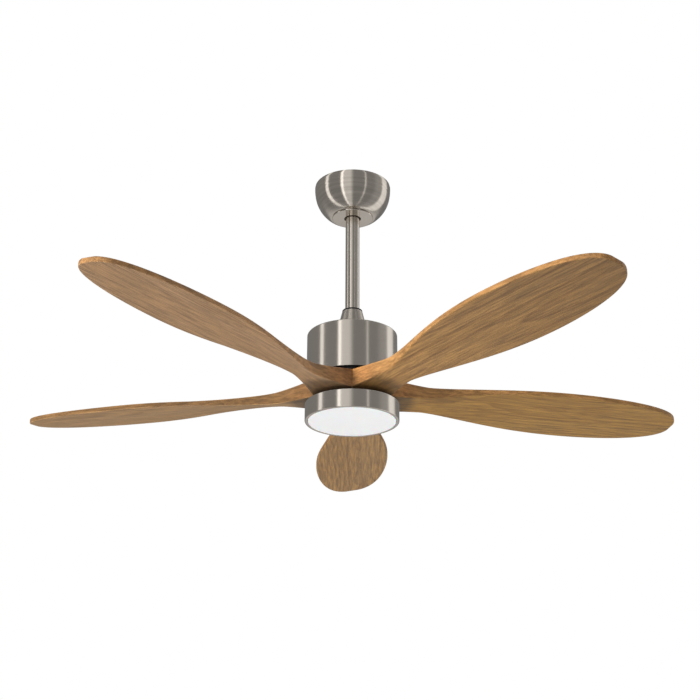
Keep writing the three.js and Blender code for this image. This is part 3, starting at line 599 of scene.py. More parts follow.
@made_once
def black_steel():
    """Steel under a black satin coat with a fine orange peel."""
    material, nodes, shader, place = new_material("black_steel", Metallic=0.0)
    peel = nodes.noise(place, 800.0, 2.0)
    dust = nodes.noise(place, 90.0, 5.0, 0.6)
    base = nodes.mix(
        nodes.spread(dust, 0.45, 0.8), (0.018, 0.018, 0.019, 1.0), (0.05, 0.048, 0.045, 1.0)
    )
    set_shader(
        nodes,
        shader,
        Base_Color=base,
        Roughness=nodes.spread(dust, 0.3, 0.7, 0.34, 0.5),
        Normal=nodes.bump(peel, 0.3, 0.05 * MM),
    )
    return material


@made_once
def copper_wire():
    """Enamelled wire, wound in close turns round each pole."""
    material, nodes, shader, place = new_material("copper_wire", Metallic=1.0)
    turn = nodes.math("MULTIPLY", nodes.off_axis(place, "Z"), math.pi / WIRE_PITCH)
    wire = nodes.math("ABSOLUTE", nodes.math("SINE", turn))
    tone = nodes.noise(place, 220.0, 3.0)
    base = nodes.mix(wire, (0.19, 0.06, 0.02, 1.0), (0.66, 0.30, 0.13, 1.0))
    toned = nodes.mix(nodes.spread(tone, 0.4, 0.8, 0.0, 0.5), base, (0.45, 0.17, 0.06, 1.0))
    set_shader(
        nodes,
        shader,
        Base_Color=toned,
        Roughness=nodes.spread(tone, 0.3, 0.7, 0.22, 0.38),
        Normal=nodes.bump(wire, 0.9, 0.25 * MM),
    )
    return material


# ---------------------------------------------------------------- plastic and rubber


def moulded(name, color, roughness, grain, depth, mottle=0.12, **fixed):
    """Moulded plastic or rubber with a fine texture and a slightly uneven tone."""
    material, nodes, shader, place = new_material(name, **fixed)
    texture = nodes.noise(place, grain, 3.0, 0.6)
    tone = nodes.noise(place, 22.0, 4.0, 0.55)
    shade = opaque(darker(color, mottle))
    set_shader(
        nodes,
        shader,
        Base_Color=nodes.mix(nodes.spread(tone, 0.35, 0.7), opaque(color), shade),
        Roughness=nodes.spread(texture, 0.3, 0.7, roughness - 0.05, roughness + 0.08),
        Normal=nodes.bump(texture, depth, 0.05 * MM),
    )
    return material


@made_once
def rubber():
    """Matte black rubber."""
    return moulded("rubber", (0.012, 0.012, 0.012), 0.72, 900.0, 0.5, 0.3)


@made_once
def black_plastic():
    """Matte black nylon."""
    return moulded("black_plastic", (0.02, 0.02, 0.021), 0.5, 1300.0, 0.4, 0.3)


@made_once
def white_plastic():
    """Matte white plastic."""
    return moulded("white_plastic", (0.78, 0.78, 0.76), 0.42, 1100.0, 0.25, 0.06)


@made_once
def opal_plastic():
    """The lens: white plastic that light sinks a little way into."""
    lamp = settings(bpy.context, "lamp")
    return moulded(
        "opal_plastic",
        lamp.lens,
        0.42,
        700.0,
        0.06,
        0.015,
        Subsurface_Weight=0.25,
        Subsurface_Scale=2.0 * MM,
    )


@made_once
def led_chip():
    """The yellow phosphor of an unlit LED chip."""
    lamp = settings(bpy.context, "lamp")
    return moulded("led_chip", lamp.chip, 0.35, 2000.0, 0.3, 0.15)


FINISHES = {
    "brushed_nickel": brushed_nickel,
    "zinc_steel": zinc_steel,
    "black_steel": black_steel,
    "lamination_steel": lamination_steel,
    "copper": copper_wire,
    "magnet": magnet,
    "rubber": rubber,
    "black_plastic": black_plastic,
    "white_plastic": white_plastic,
    "opal_plastic": opal_plastic,
    "aluminium": aluminium,
}


# ---------------------------------------------------------------- wood


# How each blade was sawn: how far the tree's heart lies beside it and below it, how far
# the heart leans along and across it, the spacing of its growth rings, the tone of its
# plank, how that tone changes to its tip, and how light its edges are. That last is partly
# the plank's own tone and partly painted light and shade, which evens out how the key
# light falls on each blade's edges.
PLANKS = (
    (0.014, 0.055, 2.0, 1.5, 8.0 * MM, (0.98, 0.89, 0.62), 1.0, 0.75),
    (-0.02, 0.090, 3.0, -1.0, 6.0 * MM, (1.10, 1.06, 0.95), 1.0, 0.42),
    (0.150, 0.045, -1.5, 1.2, 5.0 * MM, (1.07, 1.03, 1.04), 1.0, 1.0),
    (-0.006, 0.062, 5.0, -1.6, 19.0 * MM, (1.07, 0.94, 0.60), 0.6, 1.15),
    (0.05, 0.110, 2.5, 0.8, 7.0 * MM, (0.93, 0.81, 0.34), 1.0, 1.1),
)
# Noises along the grain: how much each is drawn out, its cells to the metre, and detail.
GRAIN = {
    "sway": (0.3, 11.0, 3.0),
    "waver": (0.12, 70.0, 3.0),
    "fibre": (0.02, 1100.0, 3.0),
    "strand": (0.05, 300.0, 4.0),
    "streak": (0.035, 90.0, 3.0),
    "broad": (0.12, 16.0, 2.0),
    "pore": (0.03, 1500.0, 2.0),
    "patch": (0.22, 75.0, 3.0),
}
RING_SWAY = 26 * MM  # how far the growth rings wander
RING_WAVER = 5 * MM
GRAIN_DEPTH = 0.12 * MM
PORE = (0.07, 0.035, 0.015)
EDGE_SHADES = (0.68, 1.04)  # of the bare edges' darkest and lightest patches
ROOT_ZONE_R = 125 * MM  # inside it, the undersides get a painted shade and the bare edges a redder tint
ROOT_PAINTED_SHADE = 0.5  # how much darker the painted shade makes the undersides
ROOT_TINGE = (1.0, 0.9, 0.84)  # tints the bare edges there


def carved_wood(number):
    """The wood of one blade: growth rings cut lengthwise, fibres, pores, bare edges and a
    painted shade under the root.
    """
    wood = settings(bpy.context, "wood")
    beside, below, along_lean, across_lean, spacing, tone, tip_tone, edge_tone_and_light = PLANKS[
        number - 1
    ]
    material, nodes, shader, place = new_material(f"wood_{number}")

    def toned(color):
        return opaque(channel * share for channel, share in zip(color, tone))

    def grain(name):
        stretch, scale, detail = GRAIN[name]
        long = nodes.vector("MULTIPLY", place, (stretch, 1.0, 1.0))
        moved = nodes.vector("ADD", long, (3.1 * number, 1.7 * number, 0.0))
        return nodes.noise(moved, scale, detail, 0.6)

    heart = nodes.add(
        "ShaderNodeMapping",
        {
            "Vector": place,
            "Location": (0.0, beside, below),
            "Rotation": (0.0, math.radians(along_lean), math.radians(across_lean)),
        },
    ).outputs[0]
    swayed = nodes.math("MULTIPLY_ADD", grain("sway"), RING_SWAY, nodes.off_axis(heart, "X"))
    bent = nodes.math("MULTIPLY_ADD", grain("waver"), RING_WAVER, swayed)
    ring = nodes.math("FRACT", nodes.math("DIVIDE", bent, spacing))
    rise = nodes.spread(ring, 0.35, 0.9)
    fall = nodes.spread(ring, 1.0, 0.93)
    line = nodes.math("MULTIPLY", nodes.math("POWER", rise, 2.0), fall)

    fibre, strand, broad = grain("fibre"), grain("strand"), grain("broad")
    pores = nodes.spread(grain("pore"), 0.60, 0.70)

    strength = nodes.math("MULTIPLY", line, nodes.spread(broad, 0.35, 0.65, 0.3, 0.85))
    ringed = nodes.mix(strength, toned(wood.early), toned(wood.late))
    paler = nodes.mix(nodes.spread(broad, 0.45, 0.7, 0.0, 0.6), ringed, toned(wood.grey))
    streak = nodes.spread(grain("streak"), 0.55, 0.75, 0.0, 0.5)
    streaked = nodes.mix(streak, paler, toned(wood.late))
    strands = nodes.spread(strand, 0.38, 0.62, 0.7, 1.16)
    fibres = nodes.math("MULTIPLY", strands, nodes.spread(fibre, 0.3, 0.7, 0.86, 1.08))
    fibred = nodes.mix(1.0, streaked, fibres, "MULTIPLY")
    pored = nodes.mix(nodes.math("MULTIPLY", pores, 0.45), fibred, opaque(PORE))

    up = nodes.height(nodes.add("ShaderNodeTexCoord").outputs["Normal"])
    bare = nodes.spread(nodes.math("ABSOLUTE", up), 0.8, 0.3, 0.0, 0.8)
    out = nodes.off_axis(place, "Z")
    # Painted shade: the undersides darken towards the hub, where the lamp's ring shades them.
    under = nodes.spread(up, -0.2, -0.7)
    shade_in_root_zone = nodes.spread(out, ROOT_ZONE_R, 0.85 * ROOT_ZONE_R, 0.0, ROOT_PAINTED_SHADE)
    clear = nodes.math("SUBTRACT", 1.0, nodes.math("MULTIPLY", under, shade_in_root_zone))
    tip = nodes.spread(out, 0.2 * TIP_R, 0.95 * TIP_R, 1.0, tip_tone)
    tip_tone_and_shade = nodes.math("MULTIPLY", tip, clear)
    # The edge tone is partly the plank's own and partly painted light and shade, lightening or
    # darkening each blade's edges for how the key light falls on them.
    dark, light = (edge_tone_and_light * shade for shade in EDGE_SHADES)
    patch = nodes.math("MULTIPLY", fibres, nodes.spread(grain("patch"), 0.38, 0.56, dark, light))
    patched = nodes.mix(1.0, opaque(wood.edge), patch, "MULTIPLY")
    near_hub = nodes.spread(out, ROOT_ZONE_R, 0.8 * ROOT_ZONE_R)
    redder = nodes.mix(near_hub, (1.0, 1.0, 1.0, 1.0), opaque(ROOT_TINGE))
    edge = nodes.mix(1.0, patched, redder, "MULTIPLY")
    relief = nodes.math("SUBTRACT", nodes.math("MULTIPLY", fibre, 0.6), pores)
    set_shader(
        nodes,
        shader,
        Base_Color=nodes.mix(bare, nodes.mix(1.0, pored, tip_tone_and_shade, "MULTIPLY"), edge),
        Roughness=nodes.spread(strand, 0.3, 0.7, 0.42, 0.56),
        Normal=nodes.bump(relief, 0.35, GRAIN_DEPTH),
    )
    return material


# ---------------------------------------------------------------- canopy and downrod

SHEET_T = 1.5 * MM  # of the cone, the motor's drum and the lamp's ring
CANOPY_FLOOR_R = radius_of("canopy_trim_disc") + 4 * MM
CANOPY_FLOOR_W = 25 * MM  # of the flat floor, in to the hole
CANOPY_RIM_EASE = 0.8 * MM
CANOPY_TURN = 2.6  # the powers that shape the bowl's side
CANOPY_CORNER = 0.85
CANOPY_WALL = 1.2 * MM
CANOPY_LINE_AT = 19 * MM  # of the faint line, below the rim
CANOPY_LINE_DEPTH = 0.35 * MM
CANOPY_LINE_W = 0.9 * MM
CANOPY_STEPS = 60  # down the bowl's side
CANOPY_CROWDING = 1.6  # the power that sets the steps closer towards the floor
CANOPY_INSIDE = 0.95  # how far down the bowl's inside keeps to the side's curve
DISC_T = 0.9 * MM
ROD_HOLE_R = ROD_R + 2.65 * MM  # the rest is left for the rod's lean
ROD_WALL = 2.65 * MM
GROMMET_FLANGE = 3.2 * MM  # how far the rubber ring lies over the cone's top
COVER_SHOULDER = 0.6 * MM  # how far the cone's shoulder stands out past its top
COVER_SHOULDER_H = 1.6 * MM


def canopy_outline():
    """The spun bowl: a rolled rim, a faint line below it and a flat floor with a hole."""
    top, bottom = high("canopy"), low("canopy")
    outer = radius_of("canopy")
    tall = top - bottom

    def side(share):
        bulge = (1 - share**CANOPY_TURN) ** CANOPY_CORNER
        return CANOPY_FLOOR_R + (outer - CANOPY_FLOOR_R) * bulge

    hole = CANOPY_FLOOR_R - CANOPY_FLOOR_W
    steps = range(2, CANOPY_STEPS + 1)
    shares = [1 - (1 - k / CANOPY_STEPS) ** CANOPY_CROWDING for k in steps]
    outline = [Vector((outer - CANOPY_RIM_EASE, top))]
    for share in shares:
        drop = share * tall
        groove = math.exp(-(((drop - CANOPY_LINE_AT) / CANOPY_LINE_W) ** 2))
        outline.append(Vector((side(share) - CANOPY_LINE_DEPTH * groove, top - drop)))
    outline.append(Vector((hole, bottom)))
    outline.append(Vector((hole, bottom + CANOPY_WALL)))
    for share in reversed(shares[::4]):
        inner = min(share, CANOPY_INSIDE)
        inside = side(inner) - CANOPY_WALL * (1 + inner)
        outline.append(Vector((inside, top - inner * (tall - CANOPY_WALL))))
    outline.append(Vector((outer - CANOPY_RIM_EASE - CANOPY_WALL, top)))
    return outline


class CEILING_FAN_OT_canopy(bpy.types.Operator):
    """Makes the canopy and the disc that hides its screws"""

    bl_idname = "ceiling_fan.canopy"
    bl_label = "Canopy"

    def execute(self, context):
        metal = settings(context, "metal")
        bowl = lathe("canopy", canopy_outline())
        spun = brushed_nickel("spun")
        piece("canopy_bowl", bowl, spun, "canopy_mount", "canopy")

        rim = radius_of("canopy_trim_disc")
        bottom = low("canopy_trim_disc")
        top = low("canopy") - GAP
        neck = high("canopy_trim_disc")
        corners = [
            (ROD_HOLE_R, bottom, 0.5 * MM),
            (rim, bottom, metal.corner),
            (rim, top, 0.2 * MM),
            (rim - DISC_T, top, 0.2 * MM),
            (rim - DISC_T, bottom + DISC_T, 0),
            (ROD_HOLE_R + DISC_T, bottom + DISC_T, 0),
            (ROD_HOLE_R + DISC_T, neck, 0.2 * MM),
            (ROD_HOLE_R, neck, 0.2 * MM),
        ]
        turned(
            "canopy_disc",
            corners,
            brushed_nickel(),
            "canopy_mount",
            "canopy_trim_disc",
        )
        return {"FINISHED"}


class CEILING_FAN_OT_downrod(bpy.types.Operator):
    """Makes the downrod"""

    bl_idname = "ceiling_fan.downrod"
    bl_label = "Downrod"

    def execute(self, context):
        bore = ROD_R - ROD_WALL
        ends = low("downrod"), high("downrod")
        places = ((ROD_R, ends[0]), (ROD_R, ends[1]), (bore, ends[1]), (bore, ends[0]))
        corners = [(*place, 0.6 * MM) for place in places]
        drawn = brushed_nickel("drawn")
        turned("downrod_tube", corners, drawn, "drop", "downrod", 96, 3)
        return {"FINISHED"}


class CEILING_FAN_OT_coupling_cover(bpy.types.Operator):
    """Makes the cone over the coupling and its rubber ring"""

    bl_idname = "ceiling_fan.coupling_cover"
    bl_label = "Coupling Cover"

    def execute(self, context):
        bottom, top = low("coupling_cover"), high("coupling_cover")
        base = radius_of("coupling_cover")
        flange = radius_of("rod_grommet")
        shoulder = flange + COVER_SHOULDER
        neck = flange - GROMMET_FLANGE
        corners = [
            (base, bottom, 0.4 * MM),
            (shoulder, top - COVER_SHOULDER_H, 1 * MM),
            (flange, top, 0.4 * MM),
            (neck + GAP, top, 0.3 * MM),
            (neck + GAP, top - SHEET_T, 0.3 * MM),
            (flange - SHEET_T / 2, top - SHEET_T, 0.3 * MM),
            (shoulder - SHEET_T, top - COVER_SHOULDER_H, 0.3 * MM),
            (base - SHEET_T, bottom, 0.4 * MM),
        ]
        turned(
            "coupling_cone",
            corners,
            brushed_nickel("satin"),
            "coupling_cover",
            "coupling_cover",
        )

        seat = top + GAP
        corners = [
            (ROD_R + GAP, low("rod_grommet"), 0.3 * MM),
            (neck, low("rod_grommet"), 0.6 * MM),
            (neck, seat, 0.3 * MM),
            (flange, seat, 0.4 * MM),
            (flange, high("rod_grommet"), 1 * MM),
            (ROD_R + GAP, high("rod_grommet"), 0.5 * MM),
        ]
        mesh = lathe("rod_grommet", rounded(corners), 128)
        piece("rubber_ring", mesh, rubber(), "coupling_cover", "rod_grommet")
        return {"FINISHED"}


# ---------------------------------------------------------------- motor housing

HOUSING_FILLET = 2.5 * MM
SHAFT_SPARE = 2.5 * MM  # between the shaft and the drum's hole


class CEILING_FAN_OT_motor_housing(bpy.types.Operator):
    """Makes the drum over the motor"""

    bl_idname = "ceiling_fan.motor_housing"
    bl_label = "Motor Housing"

    def execute(self, context):
        bottom, top = low("motor_housing"), high("motor_housing")
        outer = radius_of("motor_housing")
        hole = SHAFT_R + SHAFT_SPARE
        corners = [
            (outer, bottom, 0.5 * MM),
            (outer, top, HOUSING_FILLET),
            (hole, top, 0.3 * MM),
            (hole, top - SHEET_T, 0.3 * MM),
            (outer - SHEET_T, top - SHEET_T, 1.5 * MM),
            (outer - SHEET_T, bottom, 0.5 * MM),
        ]
        turned(
            "motor_drum",
            corners,
            brushed_nickel(),
            "drop",
            "motor_housing",
            steps=8,
        )
        return {"FINISHED"}


# ---------------------------------------------------------------- blades

HUB_R = 73.4 * MM  # where the edges of two neighbours meet
ROOT_CUT = 28 * MM
NECK_R = 143 * MM
NECK_HALF = 25 * MM
BELLY_R = 436 * MM
BELLY_HALF = 76 * MM
THINNING_END_R = 300 * MM
BLADE_T = 9 * MM
EDGE_RISE = 12 * MM
TIP_RISE = 7.5 * MM
SEAM = 0.5 * MM
THINNEST_HALF = 0.8 * MM  # half the width that is left at the very tip
TIP_TURN = 1.95  # the powers that shape the tip's outline
TIP_CORNER = 0.37
ROOT_FLARE = 1.35  # the power that narrows the root to the neck
FULLNESS = 0.72  # below 1, the blade widens soon after its neck
THINNING_POWER = 1.6
TIP_RISE_TURN = 2.3
TIP_THINNING = 0.45  # share of the thickness that the rounded end takes off
FACE_SPANS = 12  # faces across the top and the underside
EDGE_SPANS = 2
ARC_STEPS = 6  # round each edge
TIP_CROWDING = 2.6  # the power that sets the cross-sections closer towards the tip
JUNCTION_X = HUB_R * math.cos(SECTOR / 2)
JUNCTION_Y = HUB_R * math.sin(SECTOR / 2)


def clamped(value):
    """A value held between 0 and 1."""
    return min(1.0, max(0.0, value))


def tip_share(x):
    """The share of the blade's full width that its rounded tip leaves."""
    out = clamped((x - BELLY_R) / (TIP_R - BELLY_R))
    return (1 - out**TIP_TURN) ** TIP_CORNER


def half_width(x):
    """Half the blade's width at a distance from the fan's axis."""
    if x <= JUNCTION_X:
        return x * math.tan(SECTOR / 2)
    if x < NECK_R:
        to_neck = (x - JUNCTION_X) / (NECK_R - JUNCTION_X)
        return NECK_HALF + (JUNCTION_Y - NECK_HALF) * (1 - to_neck) ** ROOT_FLARE
    if x < BELLY_R:
        to_belly = ((x - NECK_R) / (BELLY_R - NECK_R)) ** FULLNESS
        return NECK_HALF + (BELLY_HALF - NECK_HALF) * (1 - math.cos(math.pi * to_belly)) / 2
    return BELLY_HALF * tip_share(x)


def blade_section(x, edge_radius):
    """One cross-section with rounded edges. The leading edge, at -Y, is the higher one."""
    half = max(half_width(x) - SEAM / 2, THINNEST_HALF)
    out = clamped((x - JUNCTION_X) / (THINNING_END_R - JUNCTION_X))
    carved = 1 - (1 - out) ** THINNING_POWER
    thick = PLANK_T - (PLANK_T - BLADE_T) * carved
    to_end = (TIP_R - x) / edge_radius
    if to_end < 1:
        roundness = math.sqrt(1 - (1 - max(to_end, 0)) ** 2)
        thick *= 1 - TIP_THINNING * (1 - roundness)
    lift = EDGE_RISE * carved * tip_share(x)
    outward = max(0, (x - JUNCTION_X) / (TIP_R - JUNCTION_X))
    middle = TIP_RISE * outward**TIP_RISE_TURN
    radius = min(edge_radius, 0.45 * thick, 0.6 * half)
    corners = [
        (-half, thick / 2, radius),
        (half, thick / 2, radius),
        (half, -thick / 2, radius),
        (-half, -thick / 2, radius),
    ]
    arcs = rounded(corners, ARC_STEPS)
    count = len(arcs) // 4
    points = []
    for side in range(4):
        points += arcs[side * count : (side + 1) * count]
        here = points[-1]
        ahead = arcs[((side + 1) * count) % len(arcs)]
        spans = FACE_SPANS if side % 2 == 0 else EDGE_SPANS
        points += [here.lerp(ahead, k / spans) for k in range(1, spans)]
    return [(x, p.x, middle - lift * p.x / half + p.y) for p in points]


def blade_mesh(name, stations, edge_radius):
    """A blade that points along +X, closer cut where its outline turns."""
    tip_stations = stations // 3
    plain = stations - tip_stations
    places = [ROOT_CUT, (ROOT_CUT + JUNCTION_X) / 2]
    places += [JUNCTION_X + (BELLY_R - JUNCTION_X) * k / plain for k in range(plain)]
    places += [
        TIP_R - (TIP_R - BELLY_R) * (1 - k / tip_stations) ** TIP_CROWDING
        for k in range(tip_stations + 1)
    ]

    def build(bm):
        rows = [
            [bm.verts.new(point) for point in blade_section(x, edge_radius)] for x in places
        ]
        for row, after in zip(rows, rows[1:]):
            for k in range(len(row)):
                n = (k + 1) % len(row)
                bm.faces.new((row[k], row[n], after[n], after[k]))
        bm.faces.new(rows[0])
        bm.faces.new(rows[-1])

    return mesh_from(name, build)


class CEILING_FAN_OT_blades(bpy.types.Operator):
    """Makes the five carved wooden blades"""

    bl_idname = "ceiling_fan.blades"
    bl_label = "Blades"

    def execute(self, context):
        wood = settings(context, "wood")
        for i in range(BLADES):
            name = f"carved_blade_{i + 1}"
            mesh = blade_mesh(name, wood.stations, wood.edge_radius)
            mesh.materials.append(carved_wood(i + 1))
            obj = bpy.data.objects.new(name, mesh)
            context.scene.collection.objects.link(obj)
            turn = Matrix.Rotation(math.pi / 2 + i * SECTOR, 4, "Z")
            obj.matrix_world = Matrix.Translation((0, 0, HUB_Z)) @ turn
            obj.visible_glossy = False
            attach(obj, "rotor")
            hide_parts(f"blade_{i + 1}")
        return {"FINISHED"}


# ---------------------------------------------------------------- lamp

LENS_STEP = 2.3 * MM  # how far the ring's lip reaches up beside the lens
LENS_SIDE = 2.2 * MM
LENS_FACE = 2.4 * MM
CHIP_SIZE = Vector((3.2, 2.6, 0.8)) * MM
CHIP_INSET = 8 * MM  # of the outermost ring of chips, from the board's edge
CHIP_RINGS = (1.0, 0.68, 0.36)  # radii, as shares of the outermost one's
CHIP_BEVEL = 0.15 * MM


class CEILING_FAN_OT_lamp(bpy.types.Operator):
    """Makes the lamp's metal housing and its opal lens"""

    bl_idname = "ceiling_fan.lamp"
    bl_label = "Lamp"

    def execute(self, context):
        metal = settings(context, "metal")
        bottom, top = low("lamp_housing"), high("lamp_housing")
        outer = radius_of("lamp_housing")
        lens_r = radius_of("lens")
        lip = lens_r + GAP
        step = bottom + LENS_STEP
        corners = [
            (SHAFT_R + GAP, top, 0.3 * MM),
            (outer, top, metal.corner),
            (outer, bottom, metal.corner * 2),
            (lip, bottom, 0.8 * MM),
            (lip, step, 0.3 * MM),
            (outer - SHEET_T, step, 0.4 * MM),
            (outer - SHEET_T, top - SHEET_T, 0.8 * MM),
            (SHAFT_R + GAP, top - SHEET_T, 0.3 * MM),
        ]
        nickel = brushed_nickel()
        turned("lamp_drum", corners, nickel, "drop", "lamp_housing")

        face = low("lens")
        inner = lens_r - LENS_SIDE
        corners = [
            (0, face, 0),
            (lens_r, face, 1.3 * MM),
            (lens_r, high("lens"), 0.5 * MM),
            (inner, high("lens"), 0.5 * MM),
            (inner, face + LENS_FACE, 1 * MM),
            (0, face + LENS_FACE, 0),
        ]
        turned("opal_lens", corners, opal_plastic(), "lens", "lens")
        return {"FINISHED"}


class CEILING_FAN_OT_led_chips(bpy.types.Operator):
    """Sets rings of LED chips under the LED board"""

    bl_idname = "ceiling_fan.led_chips"
    bl_label = "LED Chips"

    def execute(self, context):
        lamp = settings(context, "lamp")
        middle = low("led_board") - CHIP_SIZE.z / 2
        reach = radius_of("led_board") - CHIP_INSET
        chip = Matrix.Diagonal((*CHIP_SIZE, 1.0))

        def build(bm):
            for share in CHIP_RINGS:
                count = round(lamp.chips * share)
                out = Matrix.Translation((reach * share, 0, middle))
                for k in range(count):
                    turn = Matrix.Rotation(2 * math.pi * k / count, 4, "Z")
                    made = bmesh.ops.create_cube(bm, matrix=turn @ out @ chip)
                    edges = list({edge for vert in made["verts"] for edge in vert.link_edges})
                    bmesh.ops.bevel(
                        bm, geom=edges, offset=CHIP_BEVEL, segments=2, affect="EDGES"
                    )

        piece("led_chips", mesh_from("led_chips", build), led_chip(), "drop")
        return {"FINISHED"}


# ---------------------------------------------------------------- frame nodes

WELD_REACH = 0.001 * MM
BEVEL_W = 0.2 * MM
BEVEL_TURN = math.radians(35)  # edges that turn by more are bevelled


class CEILING_FAN_OT_inner_parts(bpy.types.Operator):
    """Finishes the pieces that keep their own shape: bracket, ball, screws, motor and lamp"""

    bl_idname = "ceiling_fan.inner_parts"
    bl_label = "Inner Parts"

    def execute(self, context):
        slots = {
            part["node"]: part["material_slot"] for part in frame["record"]["subparts"]
        }
        for name, obj in frame["nodes"].items():
            if obj.hide_render:
                continue
            obj.data.materials.clear()
            obj.data.materials.append(FINISHES[slots[name]]())
            weld = obj.modifiers.new("Weld", "WELD")
            weld.merge_threshold = WELD_REACH
            bevel = obj.modifiers.new("Bevel", "BEVEL")
            bevel.width = BEVEL_W
            bevel.segments = 2
            bevel.limit_method = "ANGLE"
            bevel.angle_limit = BEVEL_TURN
        return {"FINISHED"}


# ---------------------------------------------------------------- studio

FLOOR_DROP = 2.6
FLOOR_REACH = 40.0
FLOOR_GLOW = 0.85
CAMERA_PLACE = (0.0, -2.3008, -1.2776)
CAMERA_TILT = math.radians(90 + 22.124)
CAMERA_TURN = math.radians(0.102)
CAMERA_ROLL = math.radians(0.2)

# Upright strips of light round the studio: the bearing from the front, in degrees with
# + to the right, half the strip's width, how soft its edges are, and its strength.
STRIPS = [
    (-83.0, 4.0, 3.0, 0.95),
    (-32.0, 2.5, 2.5, 1.1),
    (-17.0, 8.0, 14.0, 0.45),
    (39.0, 1.5, 2.0, 0.42),
    (90.0, 8.0, 20.0, 0.1),
    (113.0, 9.0, 8.0, 0.7),
]
STUDIO_DIM = 0.24  # strength between the strips
STUDIO_BEHIND = 0.2
STUDIO_WALL = 0.32  # more, from low behind the fan

# The soft square lights: their side and their place. Each looks at the hub.
LIGHTS = {
    "key": (2.4, (-5.6, -2.8, 0.7)),
    "below": (5.0, (0.0, -0.3, -2.5)),
    "top": (2.4, (0.6, 0.8, 1.6)),
}


def strip_light(nodes):
    """The light that comes from each bearing, as one value."""
    aim = nodes.add("ShaderNodeSeparateXYZ", {0: nodes.add("ShaderNodeTexCoord").outputs[0]})
    away = nodes.math("MULTIPLY", aim.outputs[1], -1.0)
    bearing = nodes.math("MULTIPLY", nodes.math("ARCTAN2", aim.outputs[0], away), 180 / math.pi)
    side = nodes.math("ABSOLUTE", bearing)
    total = nodes.spread(side, 110.0, 170.0, STUDIO_DIM, STUDIO_BEHIND)
    for centre, half, soft, strength in STRIPS:
        off = nodes.math("ABSOLUTE", nodes.math("SUBTRACT", bearing, centre))
        strip = nodes.spread(off, half + soft, half, 0.0, strength)
        strip.node.interpolation_type = "SMOOTHSTEP"
        total = nodes.math("ADD", total, strip)
    wall = nodes.math(
        "MULTIPLY",
        nodes.spread(side, 110.0, 150.0),
        nodes.spread(aim.outputs[2], -0.1, -0.35, 0.0, STUDIO_WALL),
    )
    return nodes.math("ADD", total, wall)


def area_light(name, power, size, place):
    """A soft square light that looks at the hub, and can't be seen itself."""
    light = bpy.data.lights.new(name, "AREA")
    light.energy = power
    light.shape = "SQUARE"
    light.size = size
    obj = bpy.data.objects.new(name, light)
    bpy.context.scene.collection.objects.link(obj)
    obj.location = place
    aim = Vector((0.0, 0.0, HUB_Z)) - Vector(place)
    obj.rotation_euler = aim.to_track_quat("-Z", "Y").to_euler()
    obj.visible_camera = False
    obj.visible_glossy = False


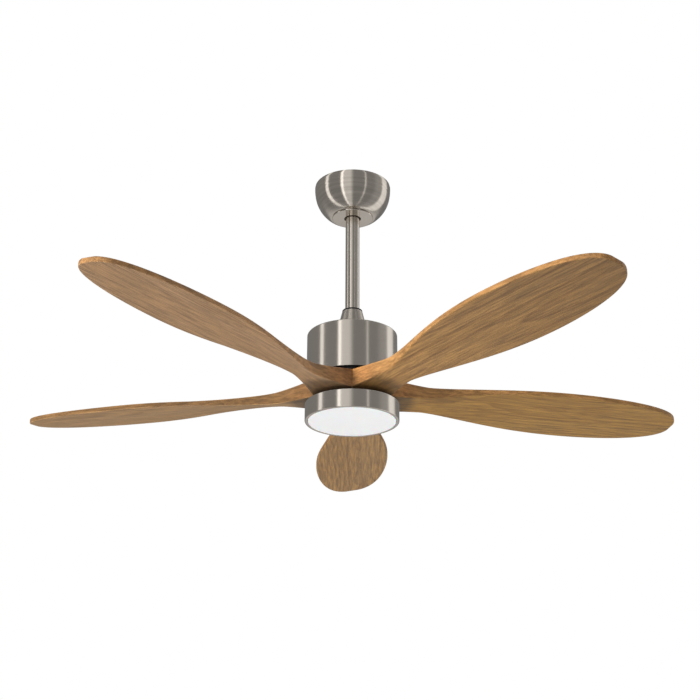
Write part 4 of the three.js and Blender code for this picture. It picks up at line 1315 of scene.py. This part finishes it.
class CEILING_FAN_OT_studio(bpy.types.Operator):
    """Sets the floor, the lights and the camera"""

    bl_idname = "ceiling_fan.studio"
    bl_label = "Studio"

    def execute(self, context):
        scene = context.scene
        studio = settings(context, "studio")
        world = bpy.data.worlds.new("studio")
        scene.world = world
        nodes = Nodes(world)
        sky = nodes.tree.nodes["Background"]
        white = nodes.add("ShaderNodeBackground", {"Color": (1, 1, 1, 1), "Strength": 1.0})
        nodes.tree.links.new(strip_light(nodes), sky.inputs["Strength"])
        sky.inputs["Color"].default_value = (1.0, 1.0, 1.0, 1.0)
        seen = nodes.add("ShaderNodeLightPath").outputs["Is Camera Ray"]
        both = nodes.add(
            "ShaderNodeMixShader", {0: seen, 1: sky.outputs[0], 2: white.outputs[0]}
        )
        nodes.tree.links.new(
            both.outputs[0], nodes.tree.nodes["World Output"].inputs["Surface"]
        )

        for name, (size, place) in LIGHTS.items():
            area_light(name, getattr(studio, name + "_power"), size, place)

        def build(bm):
            bmesh.ops.create_grid(bm, x_segments=24, y_segments=24, size=FLOOR_REACH)
            bmesh.ops.translate(bm, verts=bm.verts, vec=(0, 0, -FLOOR_DROP))

        floor = bpy.data.objects.new("floor", mesh_from("floor", build))
        scene.collection.objects.link(floor)
        paint = moulded("floor_paint", studio.backdrop, 0.8, 300.0, 0.05, 0.02)
        glow = paint.node_tree.nodes["Principled BSDF"].inputs
        glow["Emission Color"].default_value = opaque(studio.backdrop)
        glow["Emission Strength"].default_value = FLOOR_GLOW
        floor.data.materials.append(paint)
        floor.visible_diffuse = False
        floor.visible_glossy = False

        camera = bpy.data.objects.new("camera", bpy.data.cameras.new("camera"))
        scene.collection.objects.link(camera)
        camera.data.lens = studio.focal_length
        camera.data.sensor_width = 36
        camera.data.clip_end = 50
        camera.matrix_world = (
            Matrix.Translation(CAMERA_PLACE)
            @ Matrix.Rotation(CAMERA_TURN, 4, "Z")
            @ Matrix.Rotation(CAMERA_TILT, 4, "X")
            @ Matrix.Rotation(CAMERA_ROLL, 4, "Z")
        )
        scene.camera = camera
        scene.view_settings.view_transform = "Standard"
        return {"FINISHED"}


# ---------------------------------------------------------------- panel and start

OPERATORS = (
    CEILING_FAN_OT_canopy,
    CEILING_FAN_OT_downrod,
    CEILING_FAN_OT_coupling_cover,
    CEILING_FAN_OT_motor_housing,
    CEILING_FAN_OT_blades,
    CEILING_FAN_OT_lamp,
    CEILING_FAN_OT_led_chips,
    CEILING_FAN_OT_inner_parts,
    CEILING_FAN_OT_studio,
)


class CEILING_FAN_PT_panel(bpy.types.Panel):
    """Lists the fan's pieces and settings"""

    bl_idname = "CEILING_FAN_PT_panel"
    bl_label = "Ceiling Fan"
    bl_space_type = "VIEW_3D"
    bl_region_type = "UI"
    bl_category = "Ceiling Fan"

    def draw(self, context):
        for part in SETTINGS:
            box = self.layout.box()
            box.label(text=part.title())
            group = settings(context, part)
            for name in group.__annotations__:
                box.prop(group, name)
        for operator in OPERATORS:
            self.layout.operator(operator.bl_idname)


SETTINGS = {
    "metal": CeilingFanMetal,
    "wood": CeilingFanWood,
    "lamp": CeilingFanLamp,
    "studio": CeilingFanStudio,
}


def register():
    """Registers the settings, the operators and the panel."""
    for part, group in SETTINGS.items():
        bpy.utils.register_class(group)
        setattr(bpy.types.Scene, "ceiling_fan_" + part, PointerProperty(type=group))
    for operator in OPERATORS:
        bpy.utils.register_class(operator)
    bpy.utils.register_class(CEILING_FAN_PT_panel)


def unregister():
    """Takes everything out again, last first."""
    bpy.utils.unregister_class(CEILING_FAN_PT_panel)
    for operator in reversed(OPERATORS):
        bpy.utils.unregister_class(operator)
    for part, group in reversed(SETTINGS.items()):
        delattr(bpy.types.Scene, "ceiling_fan_" + part)
        bpy.utils.unregister_class(group)


def main():
    """Makes the fan and its studio."""
    register()
    for operator in OPERATORS:
        group, name = operator.bl_idname.split(".")
        getattr(getattr(bpy.ops, group), name)()


if __name__ == "__main__":
    main()
